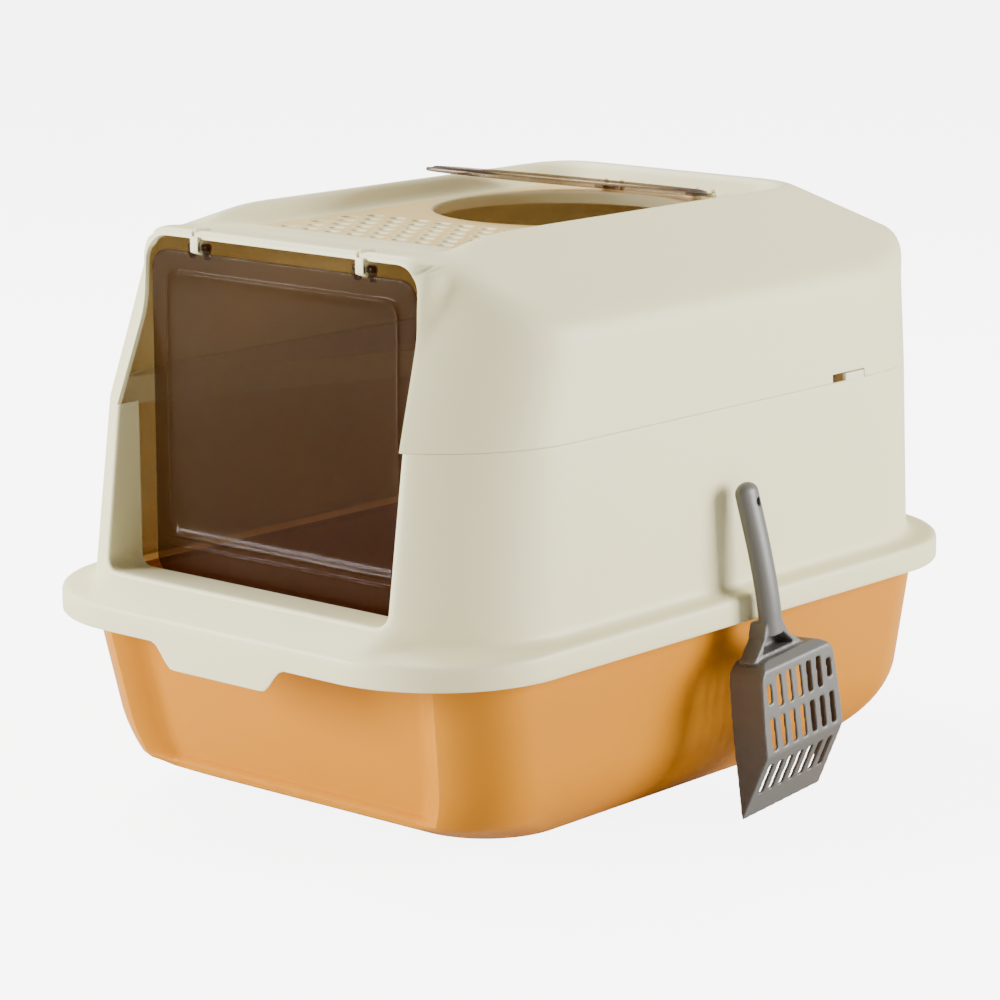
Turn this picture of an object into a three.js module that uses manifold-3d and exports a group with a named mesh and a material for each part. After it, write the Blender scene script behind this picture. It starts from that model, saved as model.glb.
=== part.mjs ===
// Cat litter box with hood: an open litter tub, a surround that raises its walls and holds the entry
// sill, a lift-off hood with a perforated top deck, a swinging entry flap, a hinged round top lid
// and the litter scoop that leans on its side.
//
// Millimetres, +Z up. The origin is the middle of the tub's flat underside, the entry faces -Y and
// the scoop stands on the +X side.
import * as THREE from "three";
import { mergeVertices } from "three/addons/utils/BufferGeometryUtils.js";
import Module from "manifold-3d";

const wasm = await Module();
wasm.setup();

// ---------- driving dimensions ----------
const skin = 3; // wall of every moulded shell
const gap = 0.3; // clearance between pieces that touch
const cornerSteps = 6; // facets round a quarter turn of a plan corner

const tub = {
  height: 136, // top of the rolled rim
  halfWidth: 177,
  front: -239,
  rear: 239,
  corner: 50,
  draft: 0.1, // how far a wall leans in for each millimetre down
  frontDraft: 0.2,
  floorRound: 58, // radius between walls and floor
  rimReach: 8, // how far the rim stands out over the wall
  rimDepth: 4,
};
const panel = { halfWidth: 116, top: 120, bottom: 30, depth: 9, side: 10 }; // recess in the tub's front

const surround = {
  skirtHalfWidth: 190,
  skirtHalfDepth: 275,
  skirtBottom: 125.5,
  skirtTop: 144,
  skirtRound: 4, // height of the rounding along the skirt's upper edge
  skirtCorner: 90,
  footHalfWidth: 178,
  footFront: -264,
  footRear: 264,
  footHeight: 149,
  topHalfWidth: 174.7,
  topFront: -255,
  topRear: 262,
  wallCorner: 102,
  seam: 260, // height of the joint with the hood
  lipHeight: 8, // inner lip that locates the hood
  lipInside: 5.2, // from the wall's outside to the lip's inside
};
const tab = { topHalf: 55, bottomHalf: 39, bottom: 110, thickness: 3 }; // pull tab under the skirt

const doorway = {
  halfBottom: 118,
  sill: 157,
  corner: 7,
  halfSeam: 118.5,
  kneeZ: 313,
  kneeHalf: 114.3,
  halfTop: 113.5,
  top: 366,
  topCorner: 16,
  returnEnd: -221, // how far back the jambs and the sill reach
  frontLow: -253, // face of the surround at the sill
  frontSeam: -240,
};

const hood = {
  ridgeHalf: 106, // distance of a ridge from the middle
  ridge: 379,
  shoulder: 318,
  shoulderHalf: 172,
  corner: 100,
  kneeFront: -232, // the plan at the height where the walls turn into the roof
  kneeRear: 259,
  barFront: -217,
};
const deck = {
  height: 364.5,
  half: 95,
  front: -141,
  rear: 158,
  corner: 30,
  flare: 0.65, // outward lean of the walls round the deck
  rampTop: 371.5,
  rampSlope: 10.4, // run of the ramp for each millimetre it rises
  ridgeFront: -147,
  ridgeRear: 166,
};
const hole = { y: 51, radius: 85, bead: 3, beadHeight: 1.8, collarDrop: 6 };
const perforation = { length: 12, width: 7, pitchX: 19, pitchY: 14.5, rows: 6, firstY: -131 };

const flap = {
  half: 110.5,
  top: 357,
  bottom: 150,
  y: -214.5,
  thickness: 2.4,
  corner: 13,
  axisZ: 360.8,
  pinRadius: 2,
  frameInset: 12,
  frameWidth: 3,
  frameHeight: 1.2,
};
const hanger = { x: 69, width: 5, outer: 4.6, bore: 2.4, head: 12, headZ: 373.2 };

const lid = {
  radius: 95,
  centreY: 57,
  thickness: 2.4,
  hingeY: 150,
  hingeZ: 368,
  openAngle: 8, // it is shown standing this far open
  lugX: 39,
  lugWidth: 9,
  pinRadius: 1.6,
};
const latch = { y: 112, gapLength: 14, tongueLength: 21, height: 5.6 };

const scoop = {
  tipX: 198.7,
  tipY: 30,
  lean: 5, // towards the box
  roll: 5,
  halfWidth: 41,
  wall: 2.2,
  depth: 26,
  bend: 44,
  plateTop: 98,
  backTop: 104,
  slotColumns: 7,
  slotPitch: 10.4,
  slotWidth: 4.6,
  handleTop: 213,
};

const colours = {
  cream: 0xe4dfcf,
  caramel: 0xd99a52,
  smoke: 0x5c4630,
  grey: 0x6f6f6f,
};

// ---------- solids ----------
function toSolid(geometry) {
  const plain = geometry.clone();
  plain.deleteAttribute("normal");
  plain.deleteAttribute("uv");
  const merged = mergeVertices(plain, 1e-4);
  return new wasm.Manifold(
    new wasm.Mesh({
      numProp: 3,
      vertProperties: new Float32Array(merged.attributes.position.array),
      triVerts: new Uint32Array(merged.index.array),
    }),
  );
}

function toGeometry(solid) {
  const mesh = solid.getMesh();
  const geometry = new THREE.BufferGeometry();
  geometry.setAttribute("position", new THREE.BufferAttribute(mesh.vertProperties, 3));
  geometry.setIndex(new THREE.BufferAttribute(mesh.triVerts, 1));
  return geometry;
}

const joined = (...solids) => solids.reduce((a, b) => a.add(b));
const common = (...solids) => solids.reduce((a, b) => a.intersect(b));
const radians = THREE.MathUtils.degToRad;

// Closed solid through rings of equal length, the first at the bottom.
function loft(rings) {
  const count = rings[0].length;
  const positions = rings.flat().flatMap((p) => [p.x, p.y, p.z]);
  const index = [];
  for (let k = 0; k + 1 < rings.length; k++)
    for (let i = 0; i < count; i++) {
      const j = (i + 1) % count;
      const a = k * count;
      index.push(a + i, a + j, a + count + j, a + i, a + count + j, a + count + i);
    }
  const cap = THREE.ShapeUtils.triangulateShape(
    rings[0].map((p) => new THREE.Vector2(p.x, p.y)),
    [],
  );
  const last = (rings.length - 1) * count;
  for (const [a, b, c] of cap) index.push(a, c, b, last + a, last + b, last + c);
  const geometry = new THREE.BufferGeometry();
  geometry.setAttribute("position", new THREE.Float32BufferAttribute(positions, 3));
  geometry.setIndex(index);
  return toSolid(geometry);
}

// Rounded rectangle in plan, anticlockwise from the front right corner.
function planRing(z, half, front, rear, radius) {
  const points = [];
  const corners = [
    [half - radius, front + radius, -90],
    [half - radius, rear - radius, 0],
    [-half + radius, rear - radius, 90],
    [-half + radius, front + radius, 180],
  ];
  for (const [x, y, start] of corners)
    for (let i = 0; i <= cornerSteps; i++) {
      const a = radians(start + (90 * i) / cornerSteps);
      points.push(new THREE.Vector3(x + radius * Math.cos(a), y + radius * Math.sin(a), z));
    }
  return points;
}

const turnToYZ = new THREE.Matrix4().set(0, 0, 1, 0, 1, 0, 0, 0, 0, 1, 0, 0, 0, 0, 0, 1);
const turnToXZ = new THREE.Matrix4().set(1, 0, 0, 0, 0, 0, -1, 0, 0, 1, 0, 0, 0, 0, 0, 1);

// An outline of [first, second] points, swept along the third axis. plane is "xz", "yz" or "xy".
function sweep(outline, plane, from, to) {
  const shape = new THREE.Shape(outline.map(([a, b]) => new THREE.Vector2(a, b)));
  const geometry = new THREE.ExtrudeGeometry(shape, { depth: to - from, bevelEnabled: false });
  geometry.translate(0, 0, from);
  if (plane === "yz") geometry.applyMatrix4(turnToYZ);
  if (plane === "xz") geometry.applyMatrix4(turnToXZ);
  return toSolid(geometry);
}
const sweepX = (outline, from, to) => sweep(outline, "yz", from, to);
const sweepY = (outline, from, to) => sweep(outline, "xz", -to, -from);
const sweepZ = (outline, from, to) => sweep(outline, "xy", from, to);

// Turns one side's outline (x > 0) into a symmetric one.
const mirrored = (side) => [...side, ...side.map(([x, z]) => [-x, z]).reverse()];

const block = (x0, x1, y0, y1, z0, z1) => {
  const geometry = new THREE.BoxGeometry(x1 - x0, y1 - y0, z1 - z0);
  geometry.translate((x0 + x1) / 2, (y0 + y1) / 2, (z0 + z1) / 2);
  return toSolid(geometry);
};

// Upright round bar, or one along X.
function bar(radius, from, to, { x = 0, y = 0, z = 0, along = "z", sides = 40 } = {}) {
  const geometry = new THREE.CylinderGeometry(radius, radius, to - from, sides);
  if (along === "z") {
    geometry.rotateX(Math.PI / 2);
    geometry.translate(x, y, (from + to) / 2);
  } else {
    geometry.rotateZ(Math.PI / 2);
    geometry.translate((from + to) / 2, y, z);
  }
  return toSolid(geometry);
}

function arcPoints(cx, cy, radius, startDeg, endDeg, steps) {
  const points = [];
  for (let i = 0; i <= steps; i++) {
    const a = radians(startDeg + ((endDeg - startDeg) * i) / steps);
    points.push([cx + radius * Math.cos(a), cy + radius * Math.sin(a)]);
  }
  return points;
}

// Outline of a rounded rectangle, anticlockwise from its lower right.
function roundedOutline(half, low, high, radius, steps = 4) {
  return [
    ...arcPoints(half - radius, low + radius, radius, -90, 0, steps),
    ...arcPoints(half - radius, high - radius, radius, 0, 90, steps),
    ...arcPoints(-half + radius, high - radius, radius, 90, 180, steps),
    ...arcPoints(-half + radius, low + radius, radius, 180, 270, steps),
  ];
}

// ---------- litter tub ----------
function tubSolid(inset) {
  const heights = [0, 3, 10, 20, 34, tub.floorRound, tub.height];
  const rings = heights.map((z) => {
    const below = tub.height - z;
    const rest = Math.max(0, tub.floorRound - z);
    const round = tub.floorRound - Math.sqrt(tub.floorRound ** 2 - rest ** 2);
    const lean = tub.draft * below + round + inset;
    return planRing(
      z === 0 ? inset : z + (z < tub.floorRound ? inset * (rest / tub.floorRound) : 0),
      tub.halfWidth - lean,
      tub.front + tub.frontDraft * below + round * 0.55 + inset,
      tub.rear - lean,
      tub.corner,
    );
  });
  if (inset) {
    const top = rings[rings.length - 1].map((p) => new THREE.Vector3(p.x, p.y, p.z + 5));
    rings.push(top);
  }
  return loft(rings);
}

// The sunk panel in the tub's front wall, grown by margin for the inner side.
function panelSolid(margin) {
  const face = tub.front + tub.frontDraft * (tub.height - panel.top);
  const foot = tub.front + tub.frontDraft * (tub.height - panel.bottom);
  const ring = (y, shrink) => [
    new THREE.Vector3(panel.halfWidth - shrink + margin, y, panel.bottom + shrink * 0.4 - margin),
    new THREE.Vector3(panel.halfWidth - shrink + margin, y, panel.top - shrink * 0.2 + margin),
    new THREE.Vector3(-panel.halfWidth + shrink - margin, y, panel.top - shrink * 0.2 + margin),
    new THREE.Vector3(-panel.halfWidth + shrink - margin, y, panel.bottom + shrink * 0.4 - margin),
  ];
  const flat = (points, lean) =>
    points.map((p) => new THREE.Vector3(p.x, p.z, p.y + lean * (panel.top - p.z)));
  const lean = (foot - face) / (panel.top - panel.bottom);
  const inner = flat(ring(face + panel.depth + margin, panel.side), lean);
  const outer = flat(ring(face - 30, -8), lean);
  const solid = loft([outer, inner]);
  return solid.transform([1, 0, 0, 0, 0, 0, 1, 0, 0, 1, 0, 0, 0, 0, 0, 1]);
}

function makeTub() {
  const reach = tub.rimReach;
  const rimRing = (z) =>
    planRing(z, tub.halfWidth + reach, tub.front - reach, tub.rear + reach, tub.corner + reach);
  const rim = loft([rimRing(tub.height - tub.rimDepth), rimRing(tub.height)]);
  const shell = joined(tubSolid(0), rim).subtract(panelSolid(0));
  return shell.subtract(tubSolid(skin).subtract(panelSolid(skin)));
}

// ---------- surround ----------
function surroundSolid(inset, top) {
  const s = surround;
  const skirtRing = (z, inward, radius) =>
    planRing(z, s.skirtHalfWidth - inward, -s.skirtHalfDepth + inward, s.skirtHalfDepth - inward, radius);
  const wallRing = (z, half, front, rear) =>
    planRing(z, half - inset, front + inset, rear - inset, s.wallCorner - inset);
  return loft([
    skirtRing(s.skirtBottom - (inset ? 5 : 0), inset, s.skirtCorner - inset),
    skirtRing(s.skirtTop - s.skirtRound - inset, inset, s.skirtCorner - inset),
    skirtRing(s.skirtTop - inset, inset + 2.5, s.skirtCorner),
    wallRing(s.footHeight - inset, s.footHalfWidth, s.footFront, s.footRear),
    wallRing(top, s.topHalfWidth, s.topFront, s.topRear),
  ]);
}

function doorOutline(grow, top) {
  const x = doorway.halfBottom - doorway.corner;
  const z = doorway.sill + doorway.corner;
  return [
    ...arcPoints(-x, z, doorway.corner + grow, 180, 270, 3),
    ...arcPoints(x, z, doorway.corner + grow, 270, 360, 3),
    [doorway.halfSeam + grow, top],
    [-doorway.halfSeam - grow, top],
  ];
}

// The surround's front leans back between the pillars' feet and the seam.
const pillarFace = () =>
  sweepX(
    [
      [-300, 100],
      [-300, 150],
      [doorway.frontLow - 12, 150],
      [doorway.frontLow, doorway.sill],
      [doorway.frontSeam, surround.seam],
      [doorway.frontSeam, 300],
      [300, 300],
      [300, 100],
    ].reverse(),
    -200,
    200,
  );

function makeSurround() {
  const s = surround;
  const face = pillarFace();
  const outside = common(surroundSolid(0, s.seam), face);
  const inside = common(surroundSolid(skin, s.seam + 1), face.translate([0, skin, 0]));
  const opening = sweepY(doorOutline(0, s.seam + 20), -320, -150);
  const shell = outside.subtract(inside);
  const frame = sweepY(doorOutline(skin, s.seam), -320, doorway.returnEnd).intersect(outside);
  const lipFront = doorway.frontSeam - skin;
  const lipPlan = (z, inset) =>
    planRing(z, s.topHalfWidth - inset, lipFront + inset, s.topRear - inset, s.wallCorner - inset);
  const lipRing = (inset, from, to) => loft([lipPlan(from, inset), lipPlan(to, inset)]);
  const lipWall = (inset, from, to) =>
    lipRing(inset, from, to).subtract(lipRing(s.lipInside, from - 1, to + 1));
  const behindEntry = block(-200, 200, -210, 300, 200, 300);
  const lip = joined(
    lipWall(skin - 1, s.seam - 10, s.seam - 2),
    lipWall(skin + 3 * gap, s.seam - 3, s.seam + s.lipHeight),
  ).intersect(behindEntry);
  const tabFace = -s.skirtHalfDepth;
  const pull = sweepY(
    mirrored([
      [tab.topHalf, s.skirtBottom + 2],
      [tab.topHalf - 3, s.skirtBottom - 1],
      [tab.bottomHalf + 3, tab.bottom + 3],
      [tab.bottomHalf, tab.bottom],
    ]).reverse(),
    tabFace,
    tabFace + tab.thickness,
  );
  const tongues = [-1, 1].map((side) => {
    const low = side > 0 ? s.topHalfWidth - skin : -s.topHalfWidth;
    const start = latch.y + latch.gapLength;
    const top = s.seam + latch.height - gap;
    return block(low, low + skin, start, start + latch.tongueLength, s.seam - 4, top);
  });
  return joined(shell, frame, pull, lip, ...tongues).subtract(opening);
}

// ---------- hood ----------
// Front view of the outside, right half, from the seam up to the middle.
const hoodFrontView = (inset, low) => [
  [surround.topHalfWidth - inset, low],
  [hood.shoulderHalf - inset, hood.shoulder - 4],
  [hood.shoulderHalf - 2.5 - inset, hood.shoulder + 5 - inset * 0.3],
  [hood.shoulderHalf - 8 - inset * 0.8, hood.shoulder + 14 - inset * 0.5],
  [hood.shoulderHalf - 22 - inset * 0.6, hood.shoulder + 28 - inset * 0.8],
  [hood.ridgeHalf + 8 - inset * 0.3, hood.ridge - 5.5 - inset],
  [hood.ridgeHalf - 2, hood.ridge - inset],
];

// Side view of the outside, from the entry's foot over the top to the rear.
const hoodSideView = (inset, low) => [
  [doorway.frontSeam - 1 + inset, low],
  [-221 + inset, doorway.kneeZ],
  [-219.5 + inset, 346],
  [hood.barFront + inset, 364 - inset * 0.5],
  [-213 + inset * 0.7, 370.5 - inset],
  [-200, 373 - inset],
  [deck.ridgeFront, hood.ridge - 0.5 - inset],
  [deck.ridgeRear, hood.ridge + 1 - inset],
  [176 - inset * 0.2, 377.5 - inset],
  [238 - inset * 0.6, 342 - inset * 0.8],
  [250 - inset * 0.8, 333 - inset * 0.5],
  [256 - inset, 325 - inset * 0.3],
  [259 - inset, 314],
  [surround.topRear - inset, low],
];

function hoodSolid(inset, low) {
  const front = sweepY(mirrored(hoodFrontView(inset, low)), -300, 300);
  const side = sweepX([...hoodSideView(inset, low)].reverse(), -200, 200);
  const ring = (z, half, front, rear, radius) =>
    planRing(z, half - inset, front + inset, rear - inset, radius - inset);
  const plan = loft([
    ring(low, surround.topHalfWidth, surround.topFront, surround.topRear, surround.wallCorner),
    ring(doorway.kneeZ, hood.shoulderHalf, hood.kneeFront, hood.kneeRear, hood.corner),
    ring(hood.ridge + 10, hood.shoulderHalf, hood.kneeFront + 2, hood.kneeRear, hood.corner),
  ]);
  return common(front, side, plan);
}

// The space above the deck: walls that flare outwards at the sides and the rear, and a long ramp
// that runs forward from the perforated floor to the bar over the entry.
function deckSolid(grow) {
  const levels = [0, 2, deck.rampTop - deck.height, hood.ridge + 8 - deck.height];
  const rings = levels.map((rise) => {
    const out = deck.flare * rise + grow;
    const ramp = deck.rampSlope * rise + grow;
    const z = deck.height + rise - grow;
    return planRing(z, deck.half + out, deck.front - ramp, deck.rear + out, deck.corner + grow);
  });
  return loft(rings);
}

function perforations() {
  const p = perforation;
  const cuts = [];
  for (let row = 0; row < p.rows; row++) {
    const y = p.firstY + row * p.pitchY;
    const columns = row % 2 ? 8 : 9;
    for (let i = 0; i < columns; i++) {
      const x = (i - (columns - 1) / 2) * p.pitchX;
      if (Math.hypot(x, y - hole.y) < hole.radius + 10) continue;
      const ends = p.length / 2 - p.width / 2;
      const outline = [
        ...arcPoints(x + ends, y, p.width / 2, -90, 90, 3),
        ...arcPoints(x - ends, y, p.width / 2, 90, 270, 3),
      ];
      cuts.push(sweepZ(outline, deck.height - 10, deck.height + 5));
    }
  }
  return joined(...cuts);
}

function makeHood() {
  const low = surround.seam + gap;
  const outside = hoodSolid(0, low).subtract(deckSolid(0));
  const inside = hoodSolid(skin, low - 2).subtract(deckSolid(skin));
  const arcX = doorway.halfTop - doorway.topCorner;
  const arcZ = doorway.top - doorway.topCorner;
  const doorSide = [
    [doorway.halfSeam, 240],
    [doorway.halfSeam - 0.4, surround.seam],
    [doorway.kneeHalf, doorway.kneeZ],
    [doorway.halfTop, 342],
    ...arcPoints(arcX, arcZ, doorway.topCorner, 0, 90, 4),
  ];
  const opening = sweepY(mirrored(doorSide), -300, -150);
  const deckTop = deck.height;
  const collarLow = deckTop - skin - hole.collarDrop;
  const collar = bar(hole.radius + skin, collarLow, deckTop + hole.beadHeight, { y: hole.y });
  const earBore = bar(lid.pinRadius + gap, -60, 60, {
    along: "x",
    y: lid.hingeY,
    z: lid.hingeZ,
    sides: 12,
  });
  const bore = bar(hole.radius, deckTop - 20, deckTop + 20, { y: hole.y });
  const ears = [-1, 1].flatMap((side) =>
    [-1, 1].map((end) => {
      const middle = side * lid.lugX + end * (lid.lugWidth / 2 + 2.2);
      const ear = sweepX(
        [
          [lid.hingeY + 3.4, deckTop - 1],
          [lid.hingeY + 3.4, lid.hingeZ],
          ...arcPoints(lid.hingeY, lid.hingeZ, 3.4, 0, 180, 6),
          [lid.hingeY - 3.4, deckTop - 1],
        ],
        middle - 1.2,
        middle + 1.2,
      );
      return ear.subtract(earBore);
    }),
  );
  const notches = [-1, 1].map((side) => {
    const middle = side * surround.topHalfWidth;
    const end = latch.y + latch.gapLength + latch.tongueLength + gap;
    return block(middle - 8, middle + 8, latch.y, end, 200, surround.seam + latch.height);
  });
  const slots = [-1, 1].map((side) => {
    const middle = side * hanger.x;
    const half = hanger.width / 2 + gap;
    return block(middle - half, middle + half, flap.y - 2.3, flap.y + 2.3, 362, 380);
  });
  const shell = outside.subtract(inside).subtract(opening);
  return joined(shell, collar, ...ears).subtract(joined(bore, perforations(), ...notches, ...slots));
}

// ---------- entry flap and its hangers ----------
function makeFlap() {
  const half = flap.thickness / 2;
  const outline = roundedOutline(flap.half, flap.bottom, flap.top, flap.corner);
  const plate = sweepY(outline, flap.y - half, flap.y + half);
  const inset = flap.frameInset;
  const border = (extra) => {
    const reach = inset + extra;
    const ring = roundedOutline(flap.half - reach, flap.bottom + reach + 2, flap.top - reach, flap.corner - 4);
    return sweepY(ring, flap.y - half - flap.frameHeight, flap.y);
  };
  const frame = border(0).subtract(border(flap.frameWidth).translate([0, -0.5, 0]).add(border(flap.frameWidth)));
  const lugs = [-1, 1].map((side) => {
    const inner = side * (hanger.x - hanger.width / 2 - 4.5);
    const x0 = Math.min(inner, inner + side * 3.5);
    const lug = sweepX(
      [
        [flap.y - half, flap.top - 4],
        [flap.y + half, flap.top - 4],
        ...arcPoints(flap.y, flap.axisZ, 2.8, 0, 180, 6),
      ],
      x0,
      x0 + 3.5,
    );
    const start = Math.min(inner, side * (hanger.x + hanger.width / 2 + 2));
    const end = Math.max(inner, side * (hanger.x + hanger.width / 2 + 2));
    const pin = bar(flap.pinRadius, start, end, { along: "x", y: flap.y, z: flap.axisZ, sides: 14 });
    const notch = block(
      side * hanger.x - hanger.width / 2 - 1,
      side * hanger.x + hanger.width / 2 + 1,
      flap.y - 6,
      flap.y + 6,
      flap.axisZ - hanger.outer - 1.2,
      flap.axisZ - flap.pinRadius,
    );
    return { body: lug.add(pin), notch };
  });
  const body = joined(plate, frame).subtract(joined(...lugs.map((l) => l.notch)));
  return joined(body, ...lugs.map((l) => l.body));
}

function makeHanger(side) {
  const x0 = side * hanger.x - hanger.width / 2;
  const x1 = x0 + hanger.width;
  const ring = bar(hanger.outer, x0, x1, { along: "x", y: flap.y, z: flap.axisZ, sides: 20 });
  const post = block(x0, x1, flap.y - 2, flap.y + 2, flap.axisZ + 3, hanger.headZ);
  const headGeometry = new THREE.BoxGeometry(hanger.head, 3, 2.2);
  headGeometry.rotateZ(radians(45 * side));
  headGeometry.translate(side * hanger.x, flap.y, hanger.headZ);
  const eye = bar(hanger.bore, x0 - 1, x1 + 1, { along: "x", y: flap.y, z: flap.axisZ, sides: 14 });
  const mouth = block(x0 - 1, x1 + 1, flap.y + 0.5, flap.y + 8, flap.axisZ - 1.2, flap.axisZ + 1.2);
  return joined(ring, post, toSolid(headGeometry)).subtract(joined(eye, mouth));
}

// ---------- top lid, made flat about its hinge and then opened ----------
function makeLid() {
  const half = lid.thickness / 2;
  const round = { y: lid.centreY, sides: 64 };
  const disc = bar(lid.radius, lid.hingeZ - half, lid.hingeZ + half, round);
  const rimOuter = bar(lid.radius - 4, lid.hingeZ, lid.hingeZ + half + 1.2, round);
  const rimInner = bar(lid.radius - 7, lid.hingeZ - 1, lid.hingeZ + half + 2, round);
  const plate = disc.subtract(block(-200, 200, lid.hingeY + 1.8, 300, 300, 400));
  const bead = rimOuter.subtract(rimInner).subtract(block(-200, 200, lid.hingeY - 6, 300, 300, 400));
  const lugs = [-1, 1].map((side) =>
    block(
      side * lid.lugX - lid.lugWidth / 2,
      side * lid.lugX + lid.lugWidth / 2,
      lid.hingeY - 12,
      lid.hingeY + 1.5,
      lid.hingeZ - half,
      lid.hingeZ + half,
    ),
  );
  const pins = [-1, 1].map((side) => {
    const middle = side * lid.lugX;
    const reach = lid.lugWidth / 2 + 3.6;
    const axis = { along: "x", y: lid.hingeY, z: lid.hingeZ, sides: 12 };
    return bar(lid.pinRadius, middle - reach, middle + reach, axis);
  });
  return joined(plate, bead, ...lugs, ...pins);
}

// ---------- litter scoop, upright: x is its depth, z its length ----------
function makeScoop() {
  const s = scoop;
  const outline = (offset) => [
    [0 - offset * 3.6, 0 - offset * 4.1],
    [s.depth - offset * 0.9, s.bend + offset * 0.6],
    [s.depth + 0.5 - offset, s.plateTop - offset * 0.8],
    [s.depth - 4 - offset * 0.6, s.backTop - 1 - offset],
    [0 - offset * 3.6, s.backTop - offset],
  ];
  const profile = (offset, half) => sweep(outline(offset), "xz", -half, half);
  const front = [
    [s.halfWidth, -2],
    [s.halfWidth - 1, 60],
    ...arcPoints(s.halfWidth - 17, s.backTop - 15, 14, 5, 90, 4),
  ];
  const face = sweepX(mirrored(front), -20, 60);
  const cavityFace = sweepX(mirrored(front.map(([y, z]) => [y - s.wall, z])), -20, 60);
  const pan = common(profile(0, s.halfWidth), face).subtract(common(profile(s.wall, s.halfWidth), cavityFace));
  const rows = [
    { from: 73, to: 93, endTrim: 4 },
    { from: 47, to: 67, endTrim: 0 },
    { from: 17, to: 37, endTrim: 0 },
  ];
  const slots = rows.flatMap((row) =>
    Array.from({ length: s.slotColumns }, (_, i) => {
      const y = (i - (s.slotColumns - 1) / 2) * s.slotPitch;
      const trim = i === 0 || i === s.slotColumns - 1 ? row.endTrim : 0;
      return block(4.5, 40, y - s.slotWidth / 2, y + s.slotWidth / 2, row.from + trim, row.to - trim);
    }),
  );
  // the neck narrows from the pan's top into the handle, with a pocket in its outer face
  const neckOutline = [
    [20, s.backTop - 2],
    [13, s.backTop + 3],
    [4, s.backTop + 10],
    [0, s.backTop + 20],
    [-17, s.backTop + 20],
    [-21, s.backTop + 10],
    [-29, s.backTop + 2],
    [-34, s.backTop - 2],
  ];
  const neck = sweepX([...neckOutline].reverse(), 5, 18);
  const pocket = sweepX(
    [
      [-24, s.backTop + 1.5],
      [9, s.backTop + 1.5],
      [-2, s.backTop + 12],
      [-16, s.backTop + 12],
    ],
    7.5,
    30,
  );
  const section = new THREE.Shape(
    arcPoints(0, 0, 1, 0, 345, 23).map(([a, b]) => new THREE.Vector2(6.2 * a, 9.2 * b)),
  );
  const path = new THREE.CatmullRomCurve3([
    new THREE.Vector3(14.4, -8, s.backTop + 11),
    new THREE.Vector3(14.8, -8.5, s.backTop + 35),
    new THREE.Vector3(12.9, -9.3, s.backTop + 66),
    new THREE.Vector3(9, -10.5, s.handleTop - 7),
  ]);
  const along = { steps: 12, extrudePath: path, bevelEnabled: false };
  const grip = toSolid(new THREE.ExtrudeGeometry(section, along));
  const cap = new THREE.SphereGeometry(1, 24, 12);
  cap.scale(6.2, 9.2, 7);
  cap.translate(9, -10.5, s.handleTop - 7);
  const eye = bar(3, -20, 60, { along: "x", y: -6.5, z: s.handleTop - 13, sides: 14 });
  return joined(pan.subtract(joined(...slots)), neck.subtract(pocket), grip, toSolid(cap)).subtract(eye);
}

// ---------- assembly ----------
const finish = (color, roughness, extra = {}) =>
  new THREE.MeshStandardMaterial({ color, roughness, metalness: 0, ...extra });
const creamPlastic = finish(colours.cream, 0.45);
const caramelPlastic = finish(colours.caramel, 0.42);
const smokyClear = finish(colours.smoke, 0.08, { transparent: true, opacity: 0.55 });
const greyPlastic = finish(colours.grey, 0.5);

function piece(name, solid, material) {
  const mesh = new THREE.Mesh(toGeometry(solid), material);
  mesh.name = name;
  return mesh;
}

const litterBox = new THREE.Group();
litterBox.add(
  piece("litter_tub", makeTub(), caramelPlastic),
  piece("lower_surround", makeSurround(), creamPlastic),
  piece("upper_hood", makeHood(), creamPlastic),
  piece("entry_flap", makeFlap(), smokyClear),
  piece("flap_hanger_left", makeHanger(-1), creamPlastic),
  piece("flap_hanger_right", makeHanger(1), creamPlastic),
);

const lidHinge = new THREE.Group();
lidHinge.position.set(0, lid.hingeY, lid.hingeZ);
lidHinge.rotation.x = -radians(lid.openAngle);
const lidMesh = piece("top_lid", makeLid(), smokyClear);
lidMesh.position.set(0, -lid.hingeY, -lid.hingeZ);
lidHinge.add(lidMesh);
litterBox.add(lidHinge);

const scoopStand = new THREE.Group();
scoopStand.position.set(scoop.tipX, scoop.tipY, scoop.halfWidth * Math.sin(radians(scoop.roll)));
scoopStand.rotation.set(radians(scoop.roll), -radians(scoop.lean), 0);
scoopStand.add(piece("litter_scoop", makeScoop(), greyPlastic));
litterBox.add(scoopStand);

export default litterBox;
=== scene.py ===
import math
import bmesh
import bpy
import numpy as np
from mathutils import Matrix, Vector


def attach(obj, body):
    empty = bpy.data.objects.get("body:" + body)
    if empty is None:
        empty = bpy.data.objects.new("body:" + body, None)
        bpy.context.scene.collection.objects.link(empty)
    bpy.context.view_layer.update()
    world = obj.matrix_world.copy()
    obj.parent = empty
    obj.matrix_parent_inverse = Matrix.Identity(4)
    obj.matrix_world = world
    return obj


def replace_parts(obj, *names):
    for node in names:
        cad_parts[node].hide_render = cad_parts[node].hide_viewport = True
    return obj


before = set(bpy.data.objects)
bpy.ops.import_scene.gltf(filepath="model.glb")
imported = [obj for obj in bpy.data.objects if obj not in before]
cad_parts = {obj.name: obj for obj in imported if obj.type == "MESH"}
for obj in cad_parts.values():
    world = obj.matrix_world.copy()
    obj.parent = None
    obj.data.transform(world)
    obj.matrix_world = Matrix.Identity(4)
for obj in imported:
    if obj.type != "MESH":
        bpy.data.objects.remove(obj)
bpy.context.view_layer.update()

mm = 0.001
mergeGap = 0.02  # points of a mesh closer than this are one, in millimetres


view = {
    "azimuth": 40.78, "elevation": 12.04, "distance": 2.400,
    "target": (-0.011, 0.0, 0.1757), "focal": 131.57, "sensor": 36.0,
}


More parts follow.
